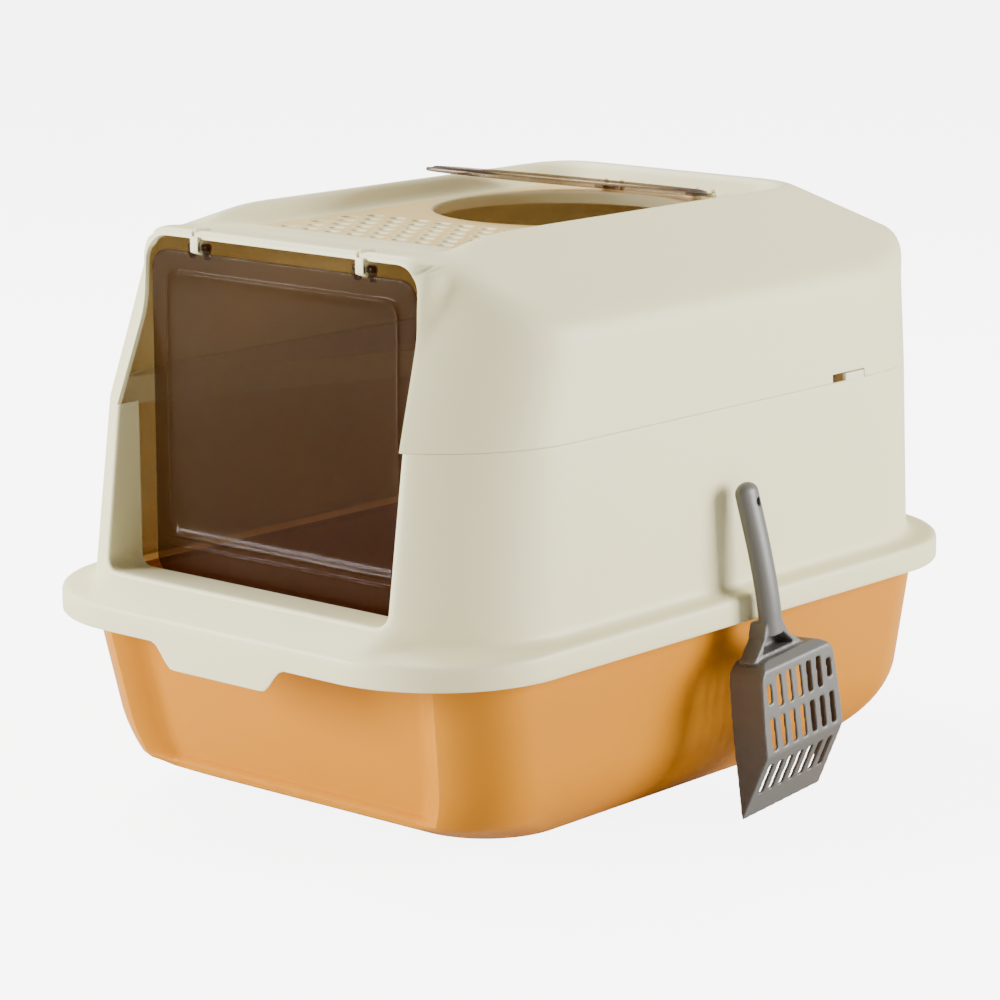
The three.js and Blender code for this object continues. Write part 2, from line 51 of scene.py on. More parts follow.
def makeCamera():
    az, el = math.radians(view["azimuth"]), math.radians(view["elevation"])
    back = Vector((math.sin(az) * math.cos(el), -math.cos(az) * math.cos(el), math.sin(el)))
    data = bpy.data.cameras.new("studioCamera")
    data.lens, data.sensor_width = view["focal"], view["sensor"]
    data.clip_end = 50
    camera = bpy.data.objects.new("studioCamera", data)
    camera.location = Vector(view["target"]) + view["distance"] * back
    camera.rotation_euler = back.to_track_quat("Z", "Y").to_euler()
    bpy.context.scene.collection.objects.link(camera)
    bpy.context.scene.camera = camera


makeCamera()
print("camera placed")


def smoothMax(a, b, k):
    h = np.clip(k - np.abs(a - b), 0, None)
    return np.maximum(a, b) + h * h / (4 * k)


def smoothMin(a, b, k):
    return -smoothMax(-a, -b, k)


def smoothStep(x, low, high):
    t = np.clip((x - low) / (high - low), 0, 1)
    return t * t * (3 - 2 * t)


def resample(points, count):
    # the same polyline with count evenly spaced points
    points = np.asarray(points, float)
    steps = np.linalg.norm(np.diff(points, axis=0), axis=1)
    along = np.concatenate([[0], np.cumsum(steps)])
    at = np.linspace(0, along[-1], count)
    return np.stack([np.interp(at, along, points[:, i]) for i in range(points.shape[1])], axis=1)


def halfRing(width, front, rear, radius, jamb, counts):
    # right half of a rounded rectangle in plan, from the middle of the front round to the middle
    # of the rear, with one column exactly at x = jamb
    frontCount, cornerCount, sideCount, rearCount, backCount = counts

    def frontY(x):
        over = np.clip(x - (width - radius), 0, radius)
        return front + radius - np.sqrt(np.clip(radius ** 2 - over ** 2, 0, None))

    xs = np.linspace(0, jamb, frontCount + 1)
    part = [np.stack([xs, frontY(xs)], axis=1)]
    bend = max(0.0, jamb - (width - radius))
    start = math.asin(min(1.0, bend / radius))
    angles = np.linspace(start, math.pi / 2, 60)
    cornerX, cornerY = width - radius, front + radius
    turn = np.stack([cornerX + radius * np.sin(angles), cornerY - radius * np.cos(angles)], axis=1)
    part.append(resample(np.vstack([[[jamb, frontY(np.array(jamb))]], turn]), cornerCount + 1)[1:])
    side = np.linspace(cornerY, rear - radius, sideCount + 1)[1:]
    part.append(np.stack([np.full_like(side, width), side], axis=1))
    angles = np.linspace(0, math.pi / 2, rearCount + 1)[1:]
    cornerY = rear - radius
    part.append(np.stack([cornerX + radius * np.cos(angles), cornerY + radius * np.sin(angles)], axis=1))
    xs = np.linspace(cornerX, 0, backCount + 1)[1:]
    part.append(np.stack([xs, np.full_like(xs, rear)], axis=1))
    return np.vstack(part)


def fullRing(half):
    # mirrors a right half into a closed ring of columns
    left = half[1:-1][::-1] * np.array([-1, 1])
    return np.vstack([half, left])


class Surface:
    # collects quads of a sheet or solid, every point in millimetres
    def __init__(self):
        self.points, self.faces = [], []

    def add(self, grid, closed=False, keep=None):
        grid = np.asarray(grid, float)
        rows, columns = grid.shape[:2]
        base = len(self.points)
        self.points.extend(grid.reshape(-1, 3).tolist())
        for r in range(rows - 1):
            for c in range(columns if closed else columns - 1):
                if keep is not None and not keep(r, c):
                    continue
                d = (c + 1) % columns
                quad = [base + r * columns + c, base + r * columns + d,
                        base + (r + 1) * columns + d, base + (r + 1) * columns + c]
                self.faces.append(quad)

    def make(self, name, material):
        mesh = bpy.data.meshes.new(name)
        mesh.from_pydata((np.array(self.points) * mm).tolist(), [], self.faces)
        work = bmesh.new()
        work.from_mesh(mesh)
        bmesh.ops.remove_doubles(work, verts=work.verts, dist=mergeGap * mm)
        bmesh.ops.dissolve_degenerate(work, edges=work.edges, dist=mergeGap * mm)
        loose = [v for v in work.verts if not v.link_faces]
        bmesh.ops.delete(work, geom=loose, context="VERTS")
        bmesh.ops.recalc_face_normals(work, faces=work.faces)
        work.to_mesh(mesh)
        work.free()
        piece = bpy.data.objects.new(name, mesh)
        bpy.context.scene.collection.objects.link(piece)
        mesh.materials.append(material)
        mesh.polygons.foreach_set("use_smooth", [True] * len(mesh.polygons))
        return piece


def applyModifiers(piece):
    depsgraph = bpy.context.evaluated_depsgraph_get()
    done = bpy.data.meshes.new_from_object(piece.evaluated_get(depsgraph))
    old = piece.data
    piece.modifiers.clear()
    piece.data = done
    bpy.data.meshes.remove(old)


def sharpen(piece, degrees=38):
    # smooth shading that breaks at real corners
    piece.data.polygons.foreach_set("use_smooth", [True] * len(piece.data.polygons))
    work = bmesh.new()
    work.from_mesh(piece.data)
    limit = math.radians(degrees)
    for edge in work.edges:
        edge.smooth = not (len(edge.link_faces) == 2 and edge.calc_face_angle(0) > limit)
    work.to_mesh(piece.data)
    work.free()


def thicken(piece, thickness, bevel):
    # gives a sheet its wall, inwards, with softly rounded rims
    solid = piece.modifiers.new("wall", "SOLIDIFY")
    solid.thickness = thickness * mm
    solid.offset = -1
    solid.use_even_offset = True
    solid.use_quality_normals = True
    applyModifiers(piece)
    soften = piece.modifiers.new("rims", "BEVEL")
    soften.width = bevel * mm
    soften.segments = 3
    soften.limit_method = "ANGLE"
    soften.angle_limit = math.radians(55)
    applyModifiers(piece)
    sharpen(piece)


def cut(piece, cutter):
    boolean = piece.modifiers.new("cut", "BOOLEAN")
    boolean.operation = "DIFFERENCE"
    boolean.solver = "EXACT"
    boolean.object = cutter
    applyModifiers(piece)
    bpy.data.objects.remove(cutter)
    sharpen(piece)


def joinPieces(pieces, name):
    # puts several objects' meshes in one
    work = bmesh.new()
    for piece in pieces:
        work.from_mesh(piece.data)
    material = pieces[0].data.materials[0]
    mesh = bpy.data.meshes.new(name)
    work.to_mesh(mesh)
    work.free()
    mesh.materials.append(material)
    for piece in pieces:
        bpy.data.objects.remove(piece)
    joined = bpy.data.objects.new(name, mesh)
    bpy.context.scene.collection.objects.link(joined)
    return joined


def prism(outline, low, high, axis, material, bevel=0.0):
    # an outline of (a, b) points swept along x, y or z from low to high
    count = len(outline)
    place = {
        "x": lambda a, b, c: (c, a, b),
        "y": lambda a, b, c: (a, c, b),
        "z": lambda a, b, c: (a, b, c),
    }[axis]
    mesh = bpy.data.meshes.new("prism")
    points = [place(a, b, c) for c in (low, high) for a, b in outline]
    faces = [list(range(count))[::-1], list(range(count, 2 * count))]
    faces += [[i, (i + 1) % count, count + (i + 1) % count, count + i] for i in range(count)]
    mesh.from_pydata((np.array(points) * mm).tolist(), [], faces)
    work = bmesh.new()
    work.from_mesh(mesh)
    bmesh.ops.recalc_face_normals(work, faces=work.faces)
    if bevel:
        edges = [e for e in work.edges if e.calc_face_angle(0) > math.radians(50)]
        bmesh.ops.bevel(work, geom=edges, offset=bevel * mm, segments=3, profile=0.5, affect="EDGES")
    work.to_mesh(mesh)
    work.free()
    mesh.materials.append(material)
    piece = bpy.data.objects.new("prism", mesh)
    bpy.context.scene.collection.objects.link(piece)
    return piece


def arc(cx, cy, radius, start, end, steps):
    # points round a centre, from one angle to another in degrees
    angles = np.radians(np.linspace(start, end, steps + 1))
    return [(cx + radius * math.cos(a), cy + radius * math.sin(a)) for a in angles]


def newGroup(name, inputs, outputs):
    group = bpy.data.node_groups.new(name, "ShaderNodeTree")
    for label, kind, value in inputs:
        socket = group.interface.new_socket(label, in_out="INPUT", socket_type=kind)
        socket.default_value = value
    for label, kind in outputs:
        group.interface.new_socket(label, in_out="OUTPUT", socket_type=kind)
    source = group.nodes.new("NodeGroupInput")
    sink = group.nodes.new("NodeGroupOutput")
    return group, source, sink


def mathNode(tree, operation, a, b, clamp=False):
    node = tree.nodes.new("ShaderNodeMath")
    node.operation = operation
    node.use_clamp = clamp
    for index, value in enumerate((a, b)):
        if isinstance(value, (int, float)):
            node.inputs[index].default_value = value
        else:
            tree.links.new(value, node.inputs[index])
    return node.outputs[0]


def noiseNode(tree, vector, scale, detail=2.0, roughness=0.5):
    node = tree.nodes.new("ShaderNodeTexNoise")
    node.inputs["Detail"].default_value = detail
    node.inputs["Roughness"].default_value = roughness
    tree.links.new(vector, node.inputs["Vector"])
    if isinstance(scale, (int, float)):
        node.inputs["Scale"].default_value = scale
    else:
        tree.links.new(scale, node.inputs["Scale"])
    return node.outputs["Fac"]


def mouldedSkin():
    # the fine texture of a mould: slow mottling in colour, a pebbled grain and uneven gloss
    group, source, sink = newGroup("mouldedSkin", [
        ("Colour", "NodeSocketColor", (0.8, 0.8, 0.8, 1)),
        ("Deep Colour", "NodeSocketColor", (0.6, 0.6, 0.6, 1)),
        ("Mottle Size", "NodeSocketFloat", 9.0),
        ("Mottle Amount", "NodeSocketFloat", 0.2),
        ("Grain Size", "NodeSocketFloat", 900.0),
        ("Gloss", "NodeSocketFloat", 0.4),
        ("Gloss Swing", "NodeSocketFloat", 0.08),
    ], [("Colour", "NodeSocketColor"), ("Roughness", "NodeSocketFloat"), ("Height", "NodeSocketFloat")])
    place = group.nodes.new("ShaderNodeTexCoord").outputs["Object"]
    mottle = noiseNode(group, place, source.outputs["Mottle Size"], 3.0)
    amount = mathNode(group, "MULTIPLY", mottle, source.outputs["Mottle Amount"], clamp=True)
    mix = group.nodes.new("ShaderNodeMix")
    mix.data_type = "RGBA"
    group.links.new(amount, mix.inputs[0])
    group.links.new(source.outputs["Colour"], mix.inputs[6])
    group.links.new(source.outputs["Deep Colour"], mix.inputs[7])
    grain = noiseNode(group, place, source.outputs["Grain Size"], 2.0, 0.6)
    patches = noiseNode(group, place, 38.0, 3.0)
    centred = mathNode(group, "SUBTRACT", patches, 0.5)
    swing = mathNode(group, "MULTIPLY", centred, source.outputs["Gloss Swing"])
    rough = mathNode(group, "ADD", source.outputs["Gloss"], swing, clamp=True)
    group.links.new(mix.outputs[2], sink.inputs["Colour"])
    group.links.new(rough, sink.inputs["Roughness"])
    group.links.new(grain, sink.inputs["Height"])
    return group


def rubbedEdges():
    # pale, rubbed corners where the shape turns sharply, broken up by noise
    group, source, sink = newGroup("rubbedEdges", [
        ("Width", "NodeSocketFloat", 0.06),
        ("Breakup", "NodeSocketFloat", 60.0),
    ], [("Mask", "NodeSocketFloat")])
    geometry = group.nodes.new("ShaderNodeNewGeometry")
    place = group.nodes.new("ShaderNodeTexCoord").outputs["Object"]
    above = mathNode(group, "SUBTRACT", geometry.outputs["Pointiness"], 0.5)
    edge = mathNode(group, "DIVIDE", above, source.outputs["Width"], clamp=True)
    broken = noiseNode(group, place, source.outputs["Breakup"], 3.0)
    group.links.new(mathNode(group, "MULTIPLY", edge, broken, clamp=True), sink.inputs["Mask"])
    return group


def settledDust():
    # faint dust on surfaces that face up
    group, source, sink = newGroup("settledDust", [
        ("Amount", "NodeSocketFloat", 0.1),
        ("Patch Size", "NodeSocketFloat", 25.0),
    ], [("Mask", "NodeSocketFloat")])
    geometry = group.nodes.new("ShaderNodeNewGeometry")
    place = group.nodes.new("ShaderNodeTexCoord").outputs["Object"]
    split = group.nodes.new("ShaderNodeSeparateXYZ")
    group.links.new(geometry.outputs["Normal"], split.inputs[0])
    up = mathNode(group, "POWER", mathNode(group, "MAXIMUM", split.outputs["Z"], 0.0), 3.0)
    patches = noiseNode(group, place, source.outputs["Patch Size"], 4.0, 0.6)
    film = mathNode(group, "MULTIPLY", up, patches)
    mask = mathNode(group, "MULTIPLY", film, source.outputs["Amount"], clamp=True)
    group.links.new(mask, sink.inputs["Mask"])
    return group


skinGroup, edgeGroup, dustGroup = mouldedSkin(), rubbedEdges(), settledDust()


def placeGroup(tree, group, values):
    node = tree.nodes.new("ShaderNodeGroup")
    node.node_tree = group
    for label, value in values.items():
        node.inputs[label].default_value = value
    return node


def mixColour(tree, factor, a, b):
    mix = tree.nodes.new("ShaderNodeMix")
    mix.data_type = "RGBA"
    tree.links.new(factor, mix.inputs[0])
    for index, value in ((6, a), (7, b)):
        if isinstance(value, tuple):
            mix.inputs[index].default_value = value
        else:
            tree.links.new(value, mix.inputs[index])
    return mix.outputs[2]


def sunkFloorShade():
    # marks level surfaces that lie in a thin band of height, such as the deck in the hood's top, to carry
    # painted shade
    group, source, sink = newGroup("sunkFloorShade", [
        ("Low", "NodeSocketFloat", 0.3635),
        ("High", "NodeSocketFloat", 0.3665),
        ("Amount", "NodeSocketFloat", 0.8),
    ], [("Mask", "NodeSocketFloat")])
    place = group.nodes.new("ShaderNodeTexCoord").outputs["Object"]
    geometry = group.nodes.new("ShaderNodeNewGeometry")
    where = group.nodes.new("ShaderNodeSeparateXYZ")
    facing = group.nodes.new("ShaderNodeSeparateXYZ")
    group.links.new(place, where.inputs[0])
    group.links.new(geometry.outputs["Normal"], facing.inputs[0])
    above = mathNode(group, "GREATER_THAN", where.outputs["Z"], source.outputs["Low"])
    below = mathNode(group, "LESS_THAN", where.outputs["Z"], source.outputs["High"])
    up = mathNode(group, "POWER", mathNode(group, "MAXIMUM", facing.outputs["Z"], 0.0), 60.0)
    band = mathNode(group, "MULTIPLY", mathNode(group, "MULTIPLY", above, below), up)
    mask = mathNode(group, "MULTIPLY", band, source.outputs["Amount"], clamp=True)
    group.links.new(mask, sink.inputs["Mask"])
    return group


shadeBandGroup = sunkFloorShade()


def mouldedPlastic(name, look, paintedShadeBand=None):
    material = bpy.data.materials.new(name)
    material.use_nodes = True
    tree = material.node_tree
    shader = tree.nodes["Principled BSDF"]
    skin = placeGroup(tree, skinGroup, {
        "Colour": look["colour"], "Deep Colour": look["deep"], "Mottle Size": look["mottleSize"],
        "Mottle Amount": look["mottle"], "Grain Size": look["grainSize"], "Gloss": look["roughness"],
        "Gloss Swing": look["swing"],
    })
    edges = placeGroup(tree, edgeGroup, {"Width": look["edgeWidth"], "Breakup": 70.0})  # patches a metre
    dust = placeGroup(tree, dustGroup, {"Amount": look["dust"], "Patch Size": 24.0})
    colour = mixColour(tree, edges.outputs["Mask"], skin.outputs["Colour"], look["rubbed"])
    colour = mixColour(tree, dust.outputs["Mask"], colour, look["dustColour"])
    # painted shade: level faces in the deck's height band are mixed towards a darker tan colour
    if paintedShadeBand:
        band = {"Low": paintedShadeBand["low"], "High": paintedShadeBand["high"], "Amount": 1.0}
        floor = placeGroup(tree, shadeBandGroup, band)
        colour = mixColour(tree, floor.outputs["Mask"], colour, paintedShadeBand["colour"])
    tree.links.new(colour, shader.inputs["Base Color"])
    rough = mathNode(tree, "ADD", skin.outputs["Roughness"], dust.outputs["Mask"], clamp=True)
    tree.links.new(rough, shader.inputs["Roughness"])
    bump = tree.nodes.new("ShaderNodeBump")
    bump.inputs["Strength"].default_value = look["bump"]
    bump.inputs["Distance"].default_value = look["bumpDepth"]
    tree.links.new(skin.outputs["Height"], bump.inputs["Height"])
    tree.links.new(bump.outputs["Normal"], shader.inputs["Normal"])
    shader.inputs["IOR"].default_value = 1.49  # polypropylene
    shader.inputs["Specular IOR Level"].default_value = look["specular"]
    shader.inputs["Subsurface Weight"].default_value = look["subsurface"]
    shader.inputs["Subsurface Radius"].default_value = look["scatter"]
    shader.inputs["Subsurface Scale"].default_value = 4 * mm
    return material


creamLook = {
    "colour": (0.83, 0.765, 0.45, 1), "deep": (0.79, 0.72, 0.405, 1), "mottleSize": 7.0, "mottle": 0.2,
    "grainSize": 1100.0, "roughness": 0.42, "swing": 0.08, "edgeWidth": 0.10,
    "rubbed": (0.88, 0.84, 0.58, 1), "dust": 0.05, "dustColour": (0.78, 0.73, 0.52, 1),
    "bump": 0.16, "bumpDepth": 0.0004,
    "specular": 0.4, "subsurface": 0.08, "scatter": (1.0, 0.8, 0.5),
}
caramelLook = {
    "colour": (0.60, 0.222, 0.004, 1), "deep": (0.54, 0.188, 0.003, 1), "mottleSize": 6.0, "mottle": 0.2,
    "grainSize": 1000.0, "roughness": 0.40, "swing": 0.08, "edgeWidth": 0.10,
    "rubbed": (0.72, 0.32, 0.03, 1), "dust": 0.05, "dustColour": (0.62, 0.30, 0.08, 1),
    "bump": 0.16, "bumpDepth": 0.0004,
    "specular": 0.16, "subsurface": 0.06, "scatter": (1.0, 0.45, 0.15),
}
greyLook = {
    "colour": (0.125, 0.119, 0.107, 1), "deep": (0.09, 0.085, 0.076, 1), "mottleSize": 16.0, "mottle": 0.3,
    "grainSize": 1500.0, "roughness": 0.38, "swing": 0.1, "edgeWidth": 0.08,
    "rubbed": (0.24, 0.23, 0.21, 1), "dust": 0.1, "dustColour": (0.4, 0.38, 0.35, 1),
    "bump": 0.2, "bumpDepth": 0.0003,
    "specular": 0.45, "subsurface": 0.0, "scatter": (1.0, 1.0, 1.0),
}
smokeLook = {
    "tint": (0.60, 0.515, 0.45, 1), "haze": (0.060, 0.034, 0.016, 1), "hazeDeep": (0.045, 0.024, 0.010, 1),
    "hazeAmount": 0.05, "edgeFall": 3.5, "edgeDepth": 0.85, "roughness": 0.05, "swing": 0.03,
    "ior": 1.57,
}


def smokyClear(name, look):
    # a brown clear sheet: what is behind shows through a tint, over a thin haze with a polished surface
    material = bpy.data.materials.new(name)
    material.use_nodes = True
    tree = material.node_tree
    shader = tree.nodes["Principled BSDF"]
    skin = placeGroup(tree, skinGroup, {
        "Colour": look["haze"], "Deep Colour": look["hazeDeep"], "Mottle Size": 12.0, "Mottle Amount": 0.6,
        "Grain Size": 22.0, "Gloss": look["roughness"], "Gloss Swing": look["swing"],
    })
    tree.links.new(skin.outputs["Colour"], shader.inputs["Base Color"])
    tree.links.new(skin.outputs["Roughness"], shader.inputs["Roughness"])
    shader.inputs["IOR"].default_value = look["ior"]
    clear = tree.nodes.new("ShaderNodeBsdfTransparent")
    clear.inputs["Color"].default_value = look["tint"]
    fresnel = tree.nodes.new("ShaderNodeFresnel")
    fresnel.inputs["IOR"].default_value = look["ior"]
    # only the outer faces mirror, so that the sheet stays clear at a slant
    outer = mathNode(tree, "SUBTRACT", 1.0, tree.nodes.new("ShaderNodeNewGeometry").outputs["Backfacing"])
    mirror = mathNode(tree, "MULTIPLY", fresnel.outputs["Fac"], outer)
    slant = tree.nodes.new("ShaderNodeLayerWeight")
    slant.inputs["Blend"].default_value = 0.5
    grazing = mathNode(tree, "POWER", slant.outputs["Facing"], look["edgeFall"])
    dense = mathNode(tree, "MULTIPLY", grazing, look["edgeDepth"])
    share = mathNode(tree, "ADD", mathNode(tree, "ADD", mirror, look["hazeAmount"]), dense, clamp=True)
    mix = tree.nodes.new("ShaderNodeMixShader")
    tree.links.new(share, mix.inputs["Fac"])
    tree.links.new(clear.outputs["BSDF"], mix.inputs[1])
    tree.links.new(shader.outputs["BSDF"], mix.inputs[2])
    tree.links.new(mix.outputs["Shader"], tree.nodes["Material Output"].inputs["Surface"])
    return material


creamPlastic = mouldedPlastic("creamPlastic", creamLook)
# painted shade: the sunk deck is coloured a darker tan for the dimmer light it lies in, not for a different
# plastic
paintedDeckShade = {"low": 0.3635, "high": 0.3662, "colour": (0.70, 0.50, 0.19, 1)}  # heights in metres
hoodPlastic = mouldedPlastic("hoodPlastic", creamLook, paintedDeckShade)
caramelPlastic = mouldedPlastic("caramelPlastic", caramelLook)
greyPlastic = mouldedPlastic("greyPlastic", greyLook)
smokyPlastic = smokyClear("smokyPlastic", smokeLook)
print("materials ready")


tubSize = {
    "height": 136.0, "width": 177.0, "front": -239.0, "rear": 239.0, "corner": 50.0, "draft": 0.10,
    "frontDraft": 0.20, "floorRound": 58.0, "wall": 3.0,
    "panelHalf": 140.0, "panelSide": 20.0, "panelLow": 26.0, "panelDepth": 13.5,
    "heelHeight": 27.0, "heelRun": 56.0, "columns": (30, 20, 60, 20, 24),
    # levels of the wall as it leaves the floor, then the rolled rim as height and reach
    "low": (0.0, 0.6, 1.6, 3.0, 5.0, 7.5, 10.5, 14.0, 17.5, 20, 22, 24, 26, 28, 30, 32, 35, 39),
    "rim": ((132, 0.4), (132.7, 2), (132.9, 5), (133.2, 7.4), (134.2, 8.0), (135.3, 7.6), (135.9, 6.4),
            (136, 4.5)),
}


def tubRow(z, reach):
    # one level of the tub's outside, pushed out by reach
    s = tubSize
    below = s["height"] - z
    rest = max(0.0, s["floorRound"] - z)
    rounding = s["floorRound"] - math.sqrt(s["floorRound"] ** 2 - rest ** 2)
    inset = s["draft"] * below + rounding - reach
    heel = s["heelRun"] * (max(0.0, s["heelHeight"] - z) / s["heelHeight"]) ** 1.1
    front = s["front"] + s["frontDraft"] * below + heel - reach
    # the sunk panel narrows towards the floor with the wall
    edge = s["panelHalf"] - 0.10 * below - 0.72 * rounding
    corner = s["corner"] + 0.12 * rounding
    ring = fullRing(halfRing(s["width"] - inset, front, s["rear"] - inset, corner, edge, s["columns"]))
    x, y = ring[:, 0], ring[:, 1]
    facing = smoothStep(-y, 150, 200)
    across = np.clip((edge - np.abs(x)) / s["panelSide"], 0, 1)
    upward = np.clip((z - s["panelLow"] + 4) / 8.0, 0, 1)
    y = y + s["panelDepth"] * across * upward * facing
    return np.stack([x, y, np.full_like(x, z)], axis=1)


def makeTub():
    s = tubSize
    levels = list(s["low"]) + list(np.arange(43, 131, 4.0))
    rows = [tubRow(z, 0) for z in levels]
    rows += [tubRow(z, reach) for z, reach in s["rim"]]
    floor = rows[0]
    middle = floor.mean(axis=0)
    inner = [middle + (floor - middle) * k for k in (0.02, 0.25, 0.5, 0.75, 0.93)]
    surface = Surface()
    surface.add(np.array(inner + rows), closed=True)
    base = len(surface.points)
    surface.points.extend(inner[0].tolist())
    surface.faces.append(list(range(base, base + len(inner[0])))[::-1])
    tub = surface.make("litterTub", caramelPlastic)
    thicken(tub, s["wall"], 0.7)
    return tub


surroundSize = {
    "skirtWidth": 190.0, "skirtDepth": 275.0, "skirtCorner": 90.0, "wall": 3.0,
    "footWidth": 178.0, "footFront": -263.0, "footRear": 264.0, "footHigh": 151.0, "wallCorner": 102.0,
    "seam": 260.0, "taper": 3.3, "sill": 157.0, "sillFront": -253.5, "seamFront": -240.0,
    "jambLow": 118.0, "jambHigh": 118.6, "sillCorner": 8.0, "fold": 2.2, "returnEnd": -221.5,
    "tabTop": 56.0, "tabLow": 38.0, "tabDrop": 15.4, "columns": (30, 28, 60, 28, 14),
    # the skirt as height and inset, then its top as height, inset and the front's plane
    "skirt": ((125.5, 0.5), (126.3, 0.1), (128.5, 0), (131.5, 0), (135, 0), (138.5, 0.05), (140.4, 0.4),
              (141.6, 1.2), (142.3, 2.4)),
    "shoulder": ((142.9, 4.6, -269.5), (143.5, 7.0, -265.0), (144.4, 9.2, -260.5), (145.9, 10.9, -257.0),
                 (148.2, 11.8, -255.2), (151.0, 12.0, -254.5)),
}


def surroundPlane(z):
    # the flat front between the pillars leans back as it rises
    s = surroundSize
    t = (z - s["sill"]) / (s["seam"] - s["sill"])
    return s["sillFront"] + t * (s["seamFront"] - s["sillFront"])


def surroundWall(z):
    # half width, front, rear and corner radius of the wall at a height
    s = surroundSize
    t = (z - s["footHigh"]) / (s["seam"] - s["footHigh"])
    front, rear = s["footFront"] + 12.0 * t, s["footRear"] - 2.0 * t
    return s["footWidth"] - s["taper"] * t, front, rear, s["wallCorner"]


def surroundFrontY(x, z):
    s = surroundSize
    width, front, _, radius = surroundWall(z)
    over = np.clip(np.abs(x) - (width - radius), 0, radius)
    ring = front + radius - np.sqrt(radius ** 2 - over ** 2)
    return smoothMax(ring, surroundPlane(z), 5.0)


def surroundJamb(z):
    s = surroundSize
    t = np.clip((z - s["sill"]) / (s["seam"] - s["sill"]), 0, 1)
    return s["jambLow"] + (s["jambHigh"] - s["jambLow"]) * t + s["fold"]


def surroundRow(z, width, front, rear, radius, plane):
    half = halfRing(width, front, rear, radius, surroundJamb(z), surroundSize["columns"])
    ring = fullRing(half)
    if plane is not None:
        facing = ring[:, 1] < -120
        ring[facing, 1] = smoothMax(ring[facing, 1], plane, 5.0)
    return np.column_stack([ring, np.full(len(ring), float(z))])


def tabProfile(x):
    s = surroundSize
    return s["tabDrop"] * smoothStep(s["tabTop"] - np.abs(x), 0, s["tabTop"] - s["tabLow"])


lipSize = {
    "half": 174.7, "inset": 3.9, "front": -240.0, "rear": 262, "corner": 98.0, "ends": -203, "wall": 1.8,
    "rows": ((251.0, 0.0), (258.0, 0.0), (266.6, 0.001), (267.7, 0.004)),  # height and lean
    "gap": (106, 130), "tongue": (126.6, 146.6), "tongueHigh": (258.5, 264.6), "tongueIn": (171.7, 174.5),
}


def makeLip():
    # the inner lip that the hood drops over, all round but for the entry
    p = lipSize
    width, rear = p["half"] - p["inset"], p["rear"] - p["inset"]
    ring = fullRing(halfRing(width, p["front"], rear, p["corner"], 90.0, (10, 30, 50, 24, 12)))
    ring = ring[ring[:, 1] > p["ends"]]
    order = np.argsort(np.arctan2(ring[:, 0], -ring[:, 1]))
    ring = ring[order]
    ring = np.vstack([ring[ring[:, 0] > 0], ring[ring[:, 0] <= 0]])
    rows = [np.column_stack([ring * (1 - lean), np.full(len(ring), z)]) for z, lean in p["rows"]]
    # it stops at the finger gaps of the side latches
    inGap = (np.abs(ring[:, 0]) > 150) & (ring[:, 1] > p["gap"][0]) & (ring[:, 1] < p["gap"][1])
    surface = Surface()
    surface.add(np.array(rows), keep=lambda r, c: not (inGap[c] or inGap[c + 1]))
    lip = surface.make("seamLip", creamPlastic)
    thicken(lip, p["wall"], 0.4)
    parts = [lip]
    for side in (1, -1):
        # the latch tongue stands up into the hood's notch
        (front, rear), (bottom, top) = p["tongue"], p["tongueHigh"]
        tongue = [(front, bottom), (rear, bottom), (rear, top), (front, top)]
        low, high = sorted(side * x for x in p["tongueIn"])
        parts.append(prism(tongue, low, high, "x", creamPlastic, bevel=0.5))
    lip = joinPieces(parts, "seamLip")
    sharpen(lip, 45)
    return lip


